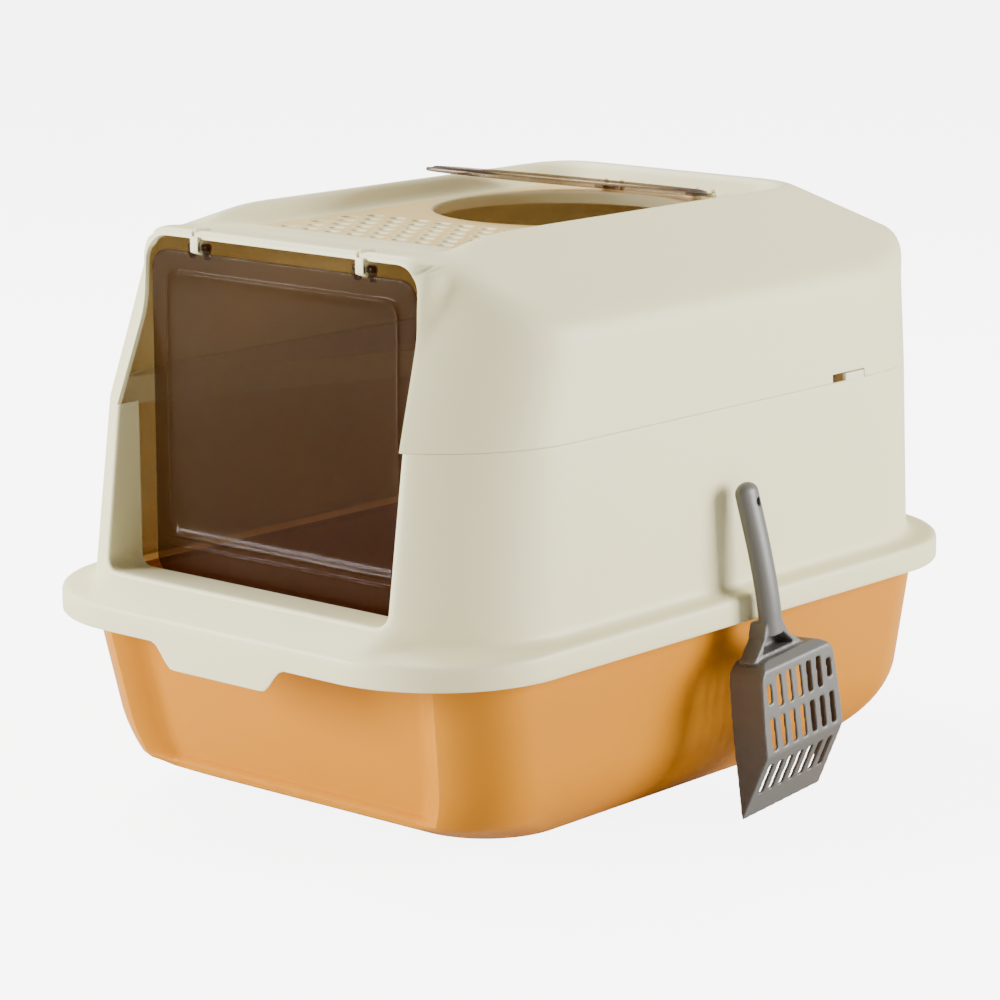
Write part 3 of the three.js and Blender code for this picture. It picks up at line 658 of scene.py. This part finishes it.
def makeSurround():
    s = surroundSize
    rows, levels = [], []

    def skirt(z, inset, plane=None):
        share = inset / (s["skirtWidth"] - s["footWidth"])
        radius = s["skirtCorner"] + (s["wallCorner"] - s["skirtCorner"]) * share
        rear = s["skirtDepth"] - (s["skirtDepth"] - s["footRear"]) * share
        front = -s["skirtDepth"] + (s["footFront"] + s["skirtDepth"]) * share
        rows.append(surroundRow(z, s["skirtWidth"] - inset, front, rear, radius, plane))
        levels.append(z)

    for row in s["skirt"] + s["shoulder"]:
        skirt(*row)
    sillRow = s["sill"] - s["fold"]
    walls = list(np.linspace(sillRow, s["seam"] - 2.0, 27))
    for z in walls + [s["seam"] - 0.9, s["seam"] - 0.3, s["seam"]]:
        width, front, rear, radius = surroundWall(z)
        lip = max(0.0, z - (s["seam"] - 1.0)) ** 2 * 0.9
        plane = surroundPlane(z) + lip
        rows.append(surroundRow(z, width - lip, front + lip, rear - lip, radius - lip, plane))
        levels.append(z)
    grid = np.array(rows)
    columns = grid.shape[1]
    # under the entry the wall runs straight down to the skirt's crease
    bottom, top = levels.index(s["skirt"][-1][0]), levels.index(sillRow)
    ahead = smoothStep(138 - np.abs(grid[bottom, :, 0]), 0, 26) * (grid[bottom, :, 1] < -180)
    for r in range(bottom + 1, top):
        t = (levels[r] - levels[bottom]) / (levels[top] - levels[bottom])
        straight = grid[bottom] + (grid[top] - grid[bottom]) * t
        grid[r] += (straight - grid[r]) * ahead[:, None]
    # the pull tab lengthens the skirt's lower edge
    drop = tabProfile(grid[0, :, 0]) * (grid[0, :, 1] < -250)
    for r, share in ((0, 1.0), (1, 0.98), (2, 0.84), (3, 0.56), (4, 0.25), (5, 0.06)):
        grid[r, :, 2] -= drop * share
    first = levels.index(sillRow)
    jamb = s["columns"][0]
    last = len(levels) - 1
    # round the doorway's lower corners
    radius = s["sillCorner"] + s["fold"]
    for side in (1, -1):
        column = jamb if side > 0 else columns - jamb
        cornerX, cornerZ = surroundJamb(sillRow), sillRow
        for r in range(first, last + 1):
            up = grid[r, column, 2] - cornerZ
            if up <= radius:
                angle = math.radians(45 * (1 - up / radius))
                x = cornerX - radius + radius * math.cos(angle)
                z = cornerZ + radius - radius * math.sin(angle)
                grid[r, column] = (side * x, surroundFrontY(x, z), z)
        for c in range(1, jamb):
            index = c if side > 0 else columns - c
            inward = cornerX - abs(grid[first, index, 0])
            if inward < radius:
                angle = math.radians(45 + 45 * inward / radius)
                x = cornerX - radius + radius * math.cos(angle)
                z = cornerZ + radius - radius * math.sin(angle)
                grid[first, index] = (side * x, surroundFrontY(x, z), z)

    def solidFace(r, c):
        inDoor = c < jamb or c >= columns - jamb
        return not (inDoor and r >= first)

    surface = Surface()
    surface.add(grid, closed=True, keep=solidFace)
    # the doorway's edge folds inwards into jambs and sill
    path = [grid[r, jamb] for r in range(last, first, -1)]
    path += [grid[first, c] for c in range(jamb, -1, -1)]
    path += [grid[first, columns - c] for c in range(1, jamb + 1)]
    path += [grid[r, columns - jamb] for r in range(first + 1, last + 1)]
    path = np.array(path)
    along = np.gradient(path, axis=0)
    inward = np.stack([-along[:, 2], np.zeros(len(path)), along[:, 0]], axis=1)
    inward *= -np.sign((inward * (path - np.array([0, 0, 230.0]))).sum(axis=1))[:, None]
    inward /= np.linalg.norm(inward, axis=1)[:, None]
    fold = s["fold"]
    band = [path]
    for degrees in (22, 45, 68, 90):
        a = math.radians(degrees)
        step = path + inward * fold * math.sin(a)
        step[:, 1] += fold * (1 - math.cos(a))
        band.append(step)
    edge = band[-1]
    for share in (0.2, 0.4, 0.6, 0.8, 0.94, 1.0):
        step = edge.copy()
        step[:, 1] = edge[:, 1] + (s["returnEnd"] - edge[:, 1]) * share
        step[:, 2] -= 2.0 * share * smoothStep(s["sill"] + 14 - edge[:, 2], 0, 12)
        band.append(step)
    surface.add(np.array(band))
    surround = surface.make("lowerSurround", creamPlastic)
    thicken(surround, s["wall"], 0.8)
    return surround


hoodSize = {
    "seam": 260.3, "width": 174.7, "rear": 262.0, "front": -251.0, "lean": 0.371, "corner": 102.0,
    "wallIn": 2.7, "rearIn": 3.0, "top": 379.0, "wall": 2.6,
    # the roof's three slopes, each as its lean along and up, and a point on it
    "sideSlope": ((0.593, 0.805), (131, 360)), "rearSlope": ((0.497, 0.868), (207, 359.7)),
    "frontSlope": ((-0.255, 0.967), (-173.5, 371.2)),
    "archHalf": 114.9, "archFlare": 0.65, "archMost": 124.0, "archTop": 371.6, "archFall": 0.2,
    "archReach": 120.0, "archCorner": 22.0,
    "deck": 364.5, "deckHalf": 95.0, "deckFront": -141.0, "deckRear": 158.0, "deckCorner": 30.0,
    "deckFlare": 0.65, "rampRun": 10.4, "step": 1.1,
    "holeY": 51.0, "holeRadius": 85.0, "collarLow": 356.5,
    "doorTop": 366.0, "doorCorner": 17.0, "columns": (28, 44, 60, 30, 16),
    "ringHalf": 107.0, "ringFront": -147.0, "ringRear": 165.0, "ringCorner": 36.0,
    "sideTop": 343.0, "jambHeights": (260, 313, 342, 366), "jambHalves": (118.5, 114.3, 113.5, 113.5),
    "holeLip": 3.0,
}


def roundedPlan(x, y, half, front, rear, radius):
    # signed distance to a rounded rectangle, negative inside
    qx = np.abs(x) - (half - radius)
    qy = np.abs(y - (front + rear) / 2) - ((rear - front) / 2 - radius)
    return np.hypot(np.maximum(qx, 0), np.maximum(qy, 0)) + np.minimum(np.maximum(qx, qy), 0) - radius


def slope(along, z, plane):
    # signed distance to a leaning plane of the roof, negative under it
    lean, at = plane
    return lean[0] * (along - at[0]) + lean[1] * (z - at[1])


def hoodBody(x, y, z):
    s = hoodSize
    ax = np.abs(x)
    rise = np.clip((z - 260) / 56, 0, 1)
    plan = roundedPlan(x, y, s["width"] - s["wallIn"] * rise, s["front"] + s["lean"] * (z - 260),
                       s["rear"] - s["rearIn"] * rise, s["corner"] - 2 * rise)
    roof = smoothMax(slope(ax, z, s["sideSlope"]), slope(y, z, s["rearSlope"]), 20.0)
    roof = smoothMax(roof, slope(y, z, s["frontSlope"]), 8.0)
    roof = smoothMax(roof, z - s["top"], 3.5)
    body = smoothMax(plan, roof, 12.0)
    # the raised arch over the entry, whose sides meet the leaning body in a crease
    side = ((ax - s["archHalf"]) - s["archFlare"] * (y + 220)) / math.hypot(1, s["archFlare"])
    side = smoothMax(side, ax - s["archMost"], 6.0)
    face = -221.0 + (z - 313) * 4.0 / 53 - y
    over = smoothMax(z - s["archTop"], z - s["archTop"] + s["archFall"] * (y + 203), 4.0)
    arch = smoothMax(smoothMax(side, over, s["archCorner"]), face, 5.0)
    arch = smoothMax(arch, y + s["archReach"], 6.0)
    return smoothMin(body, arch, 3.0)


def hoodField(x, y, z):
    # negative inside the hood, taken as filled, with the sunk deck cut out of its top
    s = hoodSize
    rise = z - s["deck"]
    out = s["deckFlare"] * rise
    basin = roundedPlan(x, y, s["deckHalf"] + out, -400.0, s["deckRear"] + out, s["deckCorner"])
    ahead = np.clip(s["deckFront"] - y, 0, None)
    floor = s["deck"] + ahead / s["rampRun"] + s["step"] * smoothStep(s["deckFront"] - y, -0.8, 1.2)
    basin = smoothMax(basin, floor - z, 5.0)
    return smoothMax(hoodBody(x, y, z), -basin, 4.0)


def solve(start, direction, reach):
    # marches from inside the hood along direction to its surface
    low, high = np.zeros(len(start)), np.full(len(start), float(reach))
    for _ in range(34):
        middle = (low + high) / 2
        p = start + direction * middle[:, None]
        inside = hoodField(p[:, 0], p[:, 1], p[:, 2]) < 0
        low, high = np.where(inside, middle, low), np.where(inside, high, middle)
    return start + direction * ((low + high) / 2)[:, None]


def hoodTopAt(xy):
    start = np.column_stack([xy, np.full(len(xy), 300.0)])
    return solve(start, np.tile([0.0, 0.0, 1.0], (len(xy), 1)), 110)


def hoodFrontAt(x, z):
    start = np.array([[x, -150.0, z]])
    return solve(start, np.array([[0.0, -1.0, 0.0]]), 130)[0]


def hoodJamb(z):
    # half width of the entry at a height
    return float(np.interp(z, hoodSize["jambHeights"], hoodSize["jambHalves"]))


def makeHood():
    s = hoodSize
    frontCount, cornerCount, sideCount, rearCount, backCount = s["columns"]
    seamHalf = halfRing(s["width"], s["front"], s["rear"], s["corner"], hoodJamb(260.0), s["columns"])
    ridgeHalf = halfRing(s["ringHalf"], s["ringFront"], s["ringRear"], s["ringCorner"], 84.0, s["columns"])
    seamRing, ridgeRing = fullRing(seamHalf), fullRing(ridgeHalf)
    columns = len(seamRing)
    # where each column's wall ends and its roof starts
    fade = smoothStep(np.linspace(0, 1, cornerCount + 1)[1:], 0.0, 1.0)
    half = np.concatenate([
        np.full(frontCount + 1, s["doorTop"]),
        s["doorTop"] + (s["sideTop"] - s["doorTop"]) * fade,
        np.full(sideCount + rearCount + backCount, s["sideTop"]),
    ])
    wallTop = np.concatenate([half, half[1:-1][::-1]])
    rows = []
    # wall rows: level slices from the seam up to each column's top
    heights = np.concatenate([[0, 0.004, 0.012], np.linspace(0.03, 1, 30)])
    centre = np.column_stack([seamRing[:, 0] * 0.2, np.clip(seamRing[:, 1], -80, 90)])
    for share in heights:
        z = s["seam"] + (wallTop - s["seam"]) * share
        target = seamRing.copy()
        # the door column and its neighbours follow the jamb's lean
        jambShift = np.array([hoodJamb(v) for v in z]) / hoodJamb(260.0)
        index = np.arange(columns)
        distance = np.minimum(index, columns - index)
        pull = 1 - smoothStep(distance - frontCount, 0, cornerCount * 0.7)
        target[:, 0] *= 1 + (jambShift - 1) * pull
        front = distance <= frontCount
        start = np.column_stack([centre, z])
        direction = np.column_stack([target - centre, np.zeros(columns)])
        # columns over the entry are sliced straight forward so that they keep their x
        start[front, 0] = target[front, 0]
        start[front, 1] = -150
        direction[front] = (0, -1, 0)
        near = (~front) & (distance <= frontCount + cornerCount)
        blend = smoothStep(distance - frontCount, 0, cornerCount)
        start[near, 0] = (target[near, 0] * (1 - blend[near]) + start[near, 0] * blend[near])
        start[near, 1] = (-150 * (1 - blend[near]) + start[near, 1] * blend[near])
        direction[near, :2] = target[near] - start[near, :2]
        direction /= np.linalg.norm(direction, axis=1)[:, None]
        rows.append(solve(start, direction, 330))
    breakIndex = len(rows) - 1
    edge = rows[-1][:, :2]
    # roof rows: over the bar and up the slopes to the crest
    for share in np.concatenate([[0.012, 0.03, 0.055], np.linspace(0.09, 1, 24)]):
        rows.append(hoodTopAt(edge + (ridgeRing - edge) * share))
    # basin rows: down to the deck and in to the hole
    bottom = fullRing(halfRing(s["deckHalf"] - 3, s["deckFront"] + 3, s["deckRear"] - 3,
                               s["deckCorner"] - 3, 76.0, s["columns"]))
    for share in (0.12, 0.25, 0.38, 0.5, 0.62, 0.74, 0.86, 1.0):
        rows.append(hoodTopAt(ridgeRing + (bottom - ridgeRing) * share))
    fromHole = bottom - np.array([0, s["holeY"]])
    angle = np.arctan2(fromHole[:, 0], -fromHole[:, 1])
    left = angle[columns // 2 + 1:]
    left[left > 0] -= 2 * math.pi

    def circle(radius):
        return np.column_stack([radius * np.sin(angle), s["holeY"] - radius * np.cos(angle)])

    lipRadius = s["holeRadius"] + s["holeLip"]
    for share in np.linspace(0, 1, 15)[1:]:
        rows.append(hoodTopAt(bottom + (circle(lipRadius) - bottom) * share))
    for degrees in (18, 36, 54, 72, 90):
        a = math.radians(degrees)
        ring = circle(lipRadius - s["holeLip"] * math.sin(a))
        rows.append(np.column_stack([ring, np.full(columns, s["deck"] - s["holeLip"] * (1 - math.cos(a)))]))
    for z in (359.5, s["collarLow"]):
        rows.append(np.column_stack([circle(s["holeRadius"]), np.full(columns, z)]))
    grid = np.array(rows)
    # round the doorway's upper corners
    radius = s["doorCorner"]
    cornerX, cornerZ = hoodJamb(360), s["doorTop"]

    def doorCorner(side, degrees):
        a = math.radians(degrees)
        x = side * (cornerX - radius + radius * math.cos(a))
        return hoodFrontAt(x, cornerZ - radius + radius * math.sin(a))

    for side in (1, -1):
        column = frontCount if side > 0 else columns - frontCount
        for r in range(breakIndex + 1):
            down = cornerZ - grid[r, column, 2]
            if down < radius:
                grid[r, column] = doorCorner(side, 45 * (1 - down / radius))
        for c in range(1, frontCount):
            index = c if side > 0 else columns - c
            inward = cornerX - abs(grid[breakIndex, index, 0])
            if inward < radius:
                grid[breakIndex, index] = doorCorner(side, 45 + 45 * inward / radius)

    def solidFace(r, c):
        inDoor = c < frontCount or c >= columns - frontCount
        return not (inDoor and r < breakIndex)

    surface = Surface()
    surface.add(grid, closed=True, keep=solidFace)
    hood = surface.make("upperHood", hoodPlastic)
    thicken(hood, s["wall"], 0.9)
    return hood


openingSize = {
    "length": 12.5, "width": 7.6, "pitchX": 19.0, "pitchY": 14.5, "rows": 6, "firstY": -131.0,
    "hookX": 69.0, "hookY": -211.5, "hookLength": 14.0, "hookWidth": 4.2, "hookTurn": 42,
    "latchY": 112.0, "latchLength": 35.3, "latchTop": 265.6,
}


def capsule(x, y, length, width, turn=0.0):
    # the outline of a slot with round ends
    ends = (length - width) / 2
    outline = arc(ends, 0, width / 2, -90, 90, 7) + arc(-ends, 0, width / 2, 90, 270, 7)
    c, s = math.cos(math.radians(turn)), math.sin(math.radians(turn))
    return [(x + a * c - b * s, y + a * s + b * c) for a, b in outline]


def openHood(hood):
    # the perforated deck, the hooks' slots and the notches of the side latches
    p = openingSize
    cutters = []
    for row in range(p["rows"]):
        y = p["firstY"] + row * p["pitchY"]
        count = 8 if row % 2 else 9
        for i in range(count):
            x = (i - (count - 1) / 2) * p["pitchX"]
            if math.hypot(x, y - hoodSize["holeY"]) > hoodSize["holeRadius"] + 10:
                cutters.append(prism(capsule(x, y, p["length"], p["width"]), 350, 372, "z", hoodPlastic))
    for side in (1, -1):
        slot = capsule(side * p["hookX"], p["hookY"], p["hookLength"], p["hookWidth"], p["hookTurn"])
        cutters.append(prism(slot, 340, 390, "z", hoodPlastic))
        wall = side * hoodSize["width"]
        notch = [(p["latchY"], 240), (p["latchY"] + p["latchLength"], 240),
                 (p["latchY"] + p["latchLength"], p["latchTop"]), (p["latchY"], p["latchTop"])]
        cutters.append(prism(notch, wall - 8, wall + 8, "x", hoodPlastic))
    cut(hood, joinPieces(cutters, "hoodCutters"))
    soften = hood.modifiers.new("holeEdges", "BEVEL")
    soften.width = 0.45 * mm
    soften.segments = 2
    soften.limit_method = "ANGLE"
    soften.angle_limit = math.radians(60)
    applyModifiers(hood)
    sharpen(hood, 50)


flapSize = {
    "half": 110.5, "top": 357.0, "bottom": 150.0, "y": -214.5, "thickness": 2.4, "corner": 13.0,
    "axis": 360.8, "edge": 1.1, "borderIn": 14.0, "borderWidth": 2.4, "borderHeight": 1.2,
    "panelDip": 0.5, "ridges": (176.5, 170.5), "ridgeWidth": 1.7, "ridgeHeight": 1.3,
    "ribLow": 153.0, "ribHigh": 165.0, "ribPitch": 6.5, "ribHeight": 0.5, "grid": 1.35,
    "borderUp": 14, "pinX": 69, "pinHalf": 7.5, "strokeDepth": 0.5,
}


def bump1(x, width):
    # a smooth hump, 1 in the middle and 0 beyond width
    return np.cos(np.clip(x / width, -1, 1) * math.pi) * 0.5 + 0.5


def swirl(x, z):
    # a plain ornament of curved strokes sunk in the flap's face
    strokes = []
    t = np.linspace(0, 1, 60)
    strokes.append((48 + 26 * np.sin(t * 2.5) - 8 * t, 300 - 98 * t))
    strokes.append((30 + 10 * np.cos(4 * t), 215 - 32 * t))
    strokes.append((20 - 4 * t + 3 * np.sin(6 * t), 290 - 40 * t))
    strokes.append((-62 + 44 * t, 200 - 10 * np.sin(t * 3.0)))
    depth = np.zeros_like(x)
    for sx, sz in strokes:
        near = np.full(x.shape, 1e9)
        for a, b in zip(sx, sz):
            near = np.minimum(near, (x - a) ** 2 + (z - b) ** 2)
        depth = np.maximum(depth, bump1(np.sqrt(near), 1.7))
    return depth


def makeFlap():
    s = flapSize

    def lines(low, high, fine):
        # even lines, with closer ones where narrow relief needs them
        marks = list(np.arange(low, high, s["grid"])) + [high]
        for a, b in fine:
            marks = [m for m in marks if not a < m < b] + list(np.arange(a, b, 0.45))
        marks = np.unique(np.round(np.array(marks), 3))
        return marks[np.concatenate([[True], np.diff(marks) > 0.12])]

    half, middle, tall = s["half"], (s["top"] + s["bottom"]) / 2, (s["top"] - s["bottom"]) / 2
    borderHalf, borderTop = half - s["borderIn"], s["top"] - s["borderIn"]
    xs = lines(-half, half, [(-half, -half + 2), (half - 2, half), (-borderHalf - 3, -borderHalf + 3),
                             (borderHalf - 3, borderHalf + 3)])
    zs = lines(s["bottom"], s["top"], [(s["bottom"], s["bottom"] + 2), (s["top"] - 2, s["top"]),
                                       (167, 180), (borderTop - 3, borderTop + 3)])
    xs[-1], zs[-1] = half, s["top"]
    uu, vv = np.meshgrid(xs / half, (zs - middle) / tall)
    # squeeze the square grid into the rounded outline near its corners
    x, z = uu * half, middle + vv * tall
    cx, cz = np.abs(x) - (half - s["corner"]), np.abs(z - middle) - (tall - s["corner"])
    inCorner = (cx > 0) & (cz > 0)
    big = np.maximum(cx, cz)
    shrink = np.where(inCorner, big / np.maximum(np.hypot(cx, cz), 1e-6), 1.0)
    x = np.where(inCorner, np.sign(x) * (half - s["corner"] + cx * shrink), x)
    z = np.where(inCorner, middle + np.sign(z - middle) * (tall - s["corner"] + cz * shrink), z)
    out = -roundedPlan(x, z, half, s["bottom"], s["top"], s["corner"])
    border = roundedPlan(x, z, borderHalf, s["bottom"] + s["borderIn"] + s["borderUp"], borderTop, 9)
    relief = s["borderHeight"] * bump1(border, s["borderWidth"])
    relief -= s["panelDip"] * smoothStep(-border, 1, 6)
    inside = smoothStep(half - 10 - np.abs(x), 0, 4)
    for level in s["ridges"]:
        relief += s["ridgeHeight"] * bump1(z - level, s["ridgeWidth"]) * inside
    strip = smoothStep(z, s["ribLow"] - 1, s["ribLow"] + 1) * smoothStep(s["ribHigh"] - z, -1, 1)
    wave = np.sign(np.sin(x * 2 * math.pi / s["ribPitch"]))
    relief += s["ribHeight"] * strip * inside * (0.5 + 0.5 * wave * 0.9)
    relief -= s["strokeDepth"] * swirl(x, z)
    rim = s["edge"] * (1 - np.sqrt(np.clip(1 - (1 - np.clip(out / s["edge"], 0, 1)) ** 2, 0, 1)))
    front = s["y"] - s["thickness"] / 2 - relief + rim
    back = s["y"] + s["thickness"] / 2 - rim
    surface = Surface()
    surface.add(np.stack([x, front, z], axis=2))
    surface.add(np.stack([x, back, z], axis=2))

    def edgeOf(grid):
        return np.vstack([grid[0, :], grid[1:, -1], grid[-1, -2::-1], grid[-2:0:-1, 0]])

    frontEdge = edgeOf(np.stack([x, front, z], axis=2))
    backEdge = edgeOf(np.stack([x, back, z], axis=2))
    surface.add(np.array([frontEdge, backEdge]), closed=True)
    plate = surface.make("flapPlate", smokyPlastic)
    parts = [plate]
    for side in (1, -1):
        at = side * s["pinX"]
        notch = [(at - 3.5, 354.9), (at + 3.5, 354.9), (at + 3.5, 359), (at - 3.5, 359)]
        cut(plate, prism(notch, s["y"] - 6, s["y"] + 6, "y", smokyPlastic))
        for inner in (-8.0, 4.6):
            lug = [(s["y"] - 1.2, 353.5), (s["y"] + 1.2, 353.5)] + arc(s["y"], s["axis"], 2.7, 0, 180, 10)
            middle = at + inner
            parts.append(prism(lug, middle, middle + 3.4, "x", smokyPlastic, bevel=0.4))
        pin = arc(s["y"], s["axis"], 2.0, 0, 337.5, 15)
        parts.append(prism(pin, at - s["pinHalf"], at + s["pinHalf"], "x", smokyPlastic))
    flap = joinPieces(parts, "entryFlap")
    sharpen(flap, 50)
    return flap


lidSize = {
    "radius": 95.0, "y": 57.0, "half": 1.2, "hingeY": 150.0, "hingeZ": 368.0, "open": 8.0,
    "beadIn": 5.5, "beadWidth": 2.2, "beadHeight": 1.2, "lugX": 39.0, "lugWidth": 9.0, "pin": 1.6,
    "edge": 0.9, "lugReach": 14, "pinOut": 3.5,
    "rings": (0.01, 15, 30, 45, 60, 75, 84, 86.5, 87.5, 88.5, 89.5, 90.5, 91.5, 92.5, 93.6, 94.4,
              94.85, 95.0),
}


def makeLid():
    s = lidSize
    angles = np.linspace(0, 2 * math.pi, 145)[:-1]

    def disc(top):
        rows = []
        for r in s["rings"]:
            up = s["half"]
            if top:
                up += s["beadHeight"] * bump1(np.array(r - (s["radius"] - s["beadIn"])), s["beadWidth"])
            over = max(0.0, r - (s["radius"] - s["edge"])) / s["edge"]
            up -= s["edge"] * (1 - math.sqrt(max(0.0, 1 - over * over)))
            z = s["hingeZ"] + (up if top else -min(up, s["half"]))
            y = np.minimum(s["y"] + r * np.sin(angles), s["hingeY"] + 1.6)
            rows.append(np.column_stack([r * np.cos(angles), y, np.full(len(angles), float(z))]))
        return np.array(rows)

    top, bottom = disc(True), disc(False)
    surface = Surface()
    surface.add(top, closed=True)
    surface.add(bottom, closed=True)
    surface.add(np.array([top[-1], bottom[-1]]), closed=True)
    parts = [surface.make("lidDisc", smokyPlastic)]
    for side in (1, -1):
        middle = side * s["lugX"]
        reach = s["lugWidth"] / 2
        near, y, z = s["hingeY"] - s["lugReach"], s["hingeY"], s["hingeZ"]
        lug = [(near, z - s["half"]), (y, z - s["pin"])] + arc(y, z, s["pin"], -90, 90, 8)
        lug.append((near, z + s["half"]))
        parts.append(prism(lug, middle - reach, middle + reach, "x", smokyPlastic))
        pin = arc(y, z, s["pin"], 0, 337.5, 15)
        reach += s["pinOut"]
        parts.append(prism(pin, middle - reach, middle + reach, "x", smokyPlastic))
    lid = joinPieces(parts, "topLid")
    sharpen(lid, 50)
    pivot = Vector((0, s["hingeY"] * mm, s["hingeZ"] * mm))
    turn = Matrix.Rotation(math.radians(-s["open"]), 4, "X")
    lid.data.transform(Matrix.Translation(pivot) @ turn @ Matrix.Translation(-pivot))
    return lid


hangerSize = {
    "x": 69.0, "y": -214.5, "z": 360.8, "outer": 4.6, "bore": 2.5, "width": 6.4, "tabFront": -219.6,
    "tabTop": 367.5, "headLength": 10.5, "headWidth": 2.2, "headLow": 363.0, "headTop": 372.4,
}


def makeHanger(side):
    # a tab under the bar that ends in an open hook round the flap's pin, locked in its slot by a slim head
    s = hangerSize
    x = side * s["x"]
    hook = arc(s["y"], s["z"], s["outer"], -20, -350, 26) + arc(s["y"], s["z"], s["bore"], -350, -20, 26)
    low, high = x - s["width"] / 2, x + s["width"] / 2
    parts = [prism(hook, low, high, "x", creamPlastic)]
    y = s["tabFront"]
    tab = [(y, s["tabTop"]), (y, 358.6), (y + 0.9, 357.4), (y + 2.4, 358.4), (y + 2.4, s["tabTop"])]
    parts.append(prism(tab, low, high, "x", creamPlastic, bevel=0.3))
    head = capsule(x, openingSize["hookY"], s["headLength"], s["headWidth"], openingSize["hookTurn"])
    parts.append(prism(head, s["headLow"], s["headTop"], "z", creamPlastic, bevel=0.3))
    hanger = joinPieces(parts, "flapHanger" + ("Right" if side > 0 else "Left"))
    sharpen(hanger, 40)
    return hanger


def makeEars():
    # the hinge ears behind the hole that hold the lid's pins
    parts = []
    for side in (1, -1):
        for end in (1, -1):
            middle = side * lidSize["lugX"] + end * (lidSize["lugWidth"] / 2 + 2.2)
            y, z = lidSize["hingeY"], lidSize["hingeZ"]
            ear = [(y + 4.4, 363.8), (y + 3.4, z)] + arc(y, z, 3.4, 0, 180, 12) + [(y - 4.4, 363.8)]
            parts.append(prism(ear, middle - 1.2, middle + 1.2, "x", creamPlastic, bevel=0.35))
    ears = joinPieces(parts, "lidEars")
    sharpen(ears, 40)
    return ears


print("helpers ready")
tubPiece = makeTub()
print("tub made", len(tubPiece.data.polygons))
surroundPiece = makeSurround()
print("surround made", len(surroundPiece.data.polygons))
hoodPiece = makeHood()
print("hood made", len(hoodPiece.data.polygons))

openHood(hoodPiece)
print("hood opened", len(hoodPiece.data.polygons))
flapPiece = makeFlap()
print("flap made", len(flapPiece.data.polygons))
lidPiece = makeLid()
earPiece = makeEars()
print("lid made")

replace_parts(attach(tubPiece, "tub"), "litter_tub")
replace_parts(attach(surroundPiece, "surround"), "lower_surround")
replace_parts(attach(hoodPiece, "hood"), "upper_hood")

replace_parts(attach(flapPiece, "flap"), "entry_flap")
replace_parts(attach(lidPiece, "lid"), "top_lid")
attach(earPiece, "hood")

for side, node in ((-1, "flap_hanger_left"), (1, "flap_hanger_right")):
    hanger = makeHanger(side)
    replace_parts(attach(hanger, "hood"), node)
lipPiece = makeLip()
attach(lipPiece, "surround")

# the scoop's own shape is rounded off all over by a fine remesh
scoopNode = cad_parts["litter_scoop"]
scoopNode.data.materials.clear()
scoopNode.data.materials.append(greyPlastic)
remesh = scoopNode.modifiers.new("fine", "REMESH")
remesh.mode = "VOXEL"
remesh.voxel_size = 0.8 * mm
remesh.use_smooth_shade = True
soften = scoopNode.modifiers.new("soft", "SMOOTH")
soften.factor = 0.5
soften.iterations = 4


studio = {
    "floorHalf": 6, "floorColour": (0.60, 0.59, 0.57, 1), "floorGlow": 6.0,
    "wallColour": (1, 0.99, 0.97, 1), "wallLight": 0.30, "wallGlow": 7.4,
    # each softbox as its place, size and power
    "lights": {
        "frontSoftbox": ((-1.7, -2.6, 0.95), 1.5, 225.0),
        "sideSoftbox": ((2.6, 1.7, 0.85), 1.6, 215.0),
        "topSoftbox": ((-1.3, 0.1, 2.4), 1.4, 100.0),
    },
}


def makeStudio():
    work = bmesh.new()
    bmesh.ops.create_grid(work, x_segments=2, y_segments=2, size=studio["floorHalf"])
    mesh = bpy.data.meshes.new("studioFloor")
    work.to_mesh(mesh)
    work.free()
    floor = bpy.data.objects.new("studioFloor", mesh)
    floor.location = (0, 0, -0.0005)
    bpy.context.scene.collection.objects.link(floor)
    pale = bpy.data.materials.new("palePaper")
    pale.use_nodes = True
    paper = pale.node_tree.nodes["Principled BSDF"]
    paper.inputs["Base Color"].default_value = studio["floorColour"]
    paper.inputs["Roughness"].default_value = 0.9
    paper.inputs["Emission Color"].default_value = (1, 1, 1, 1)
    # the camera sees floor and wall white, while they light the object far less
    seen = pale.node_tree.nodes.new("ShaderNodeLightPath").outputs["Is Camera Ray"]
    glow = mathNode(pale.node_tree, "MULTIPLY", seen, studio["floorGlow"])
    pale.node_tree.links.new(glow, paper.inputs["Emission Strength"])
    mesh.materials.append(pale)
    world = bpy.data.worlds.new("studioWorld")
    world.use_nodes = True
    world.node_tree.nodes["Background"].inputs["Color"].default_value = studio["wallColour"]
    seen = world.node_tree.nodes.new("ShaderNodeLightPath").outputs["Is Camera Ray"]
    glow = mathNode(world.node_tree, "MULTIPLY", seen, studio["wallGlow"])
    strength = mathNode(world.node_tree, "ADD", glow, studio["wallLight"])
    world.node_tree.links.new(strength, world.node_tree.nodes["Background"].inputs["Strength"])
    bpy.context.scene.world = world
    for name, (place, size, power) in studio["lights"].items():
        data = bpy.data.lights.new(name, "AREA")
        data.shape, data.size, data.energy = "SQUARE", size, power
        lamp = bpy.data.objects.new(name, data)
        lamp.location = place
        lamp.rotation_euler = (Vector(place) - Vector((0, 0, 0.2))).to_track_quat("Z", "Y").to_euler()
        bpy.context.scene.collection.objects.link(lamp)


makeStudio()
print("studio ready")
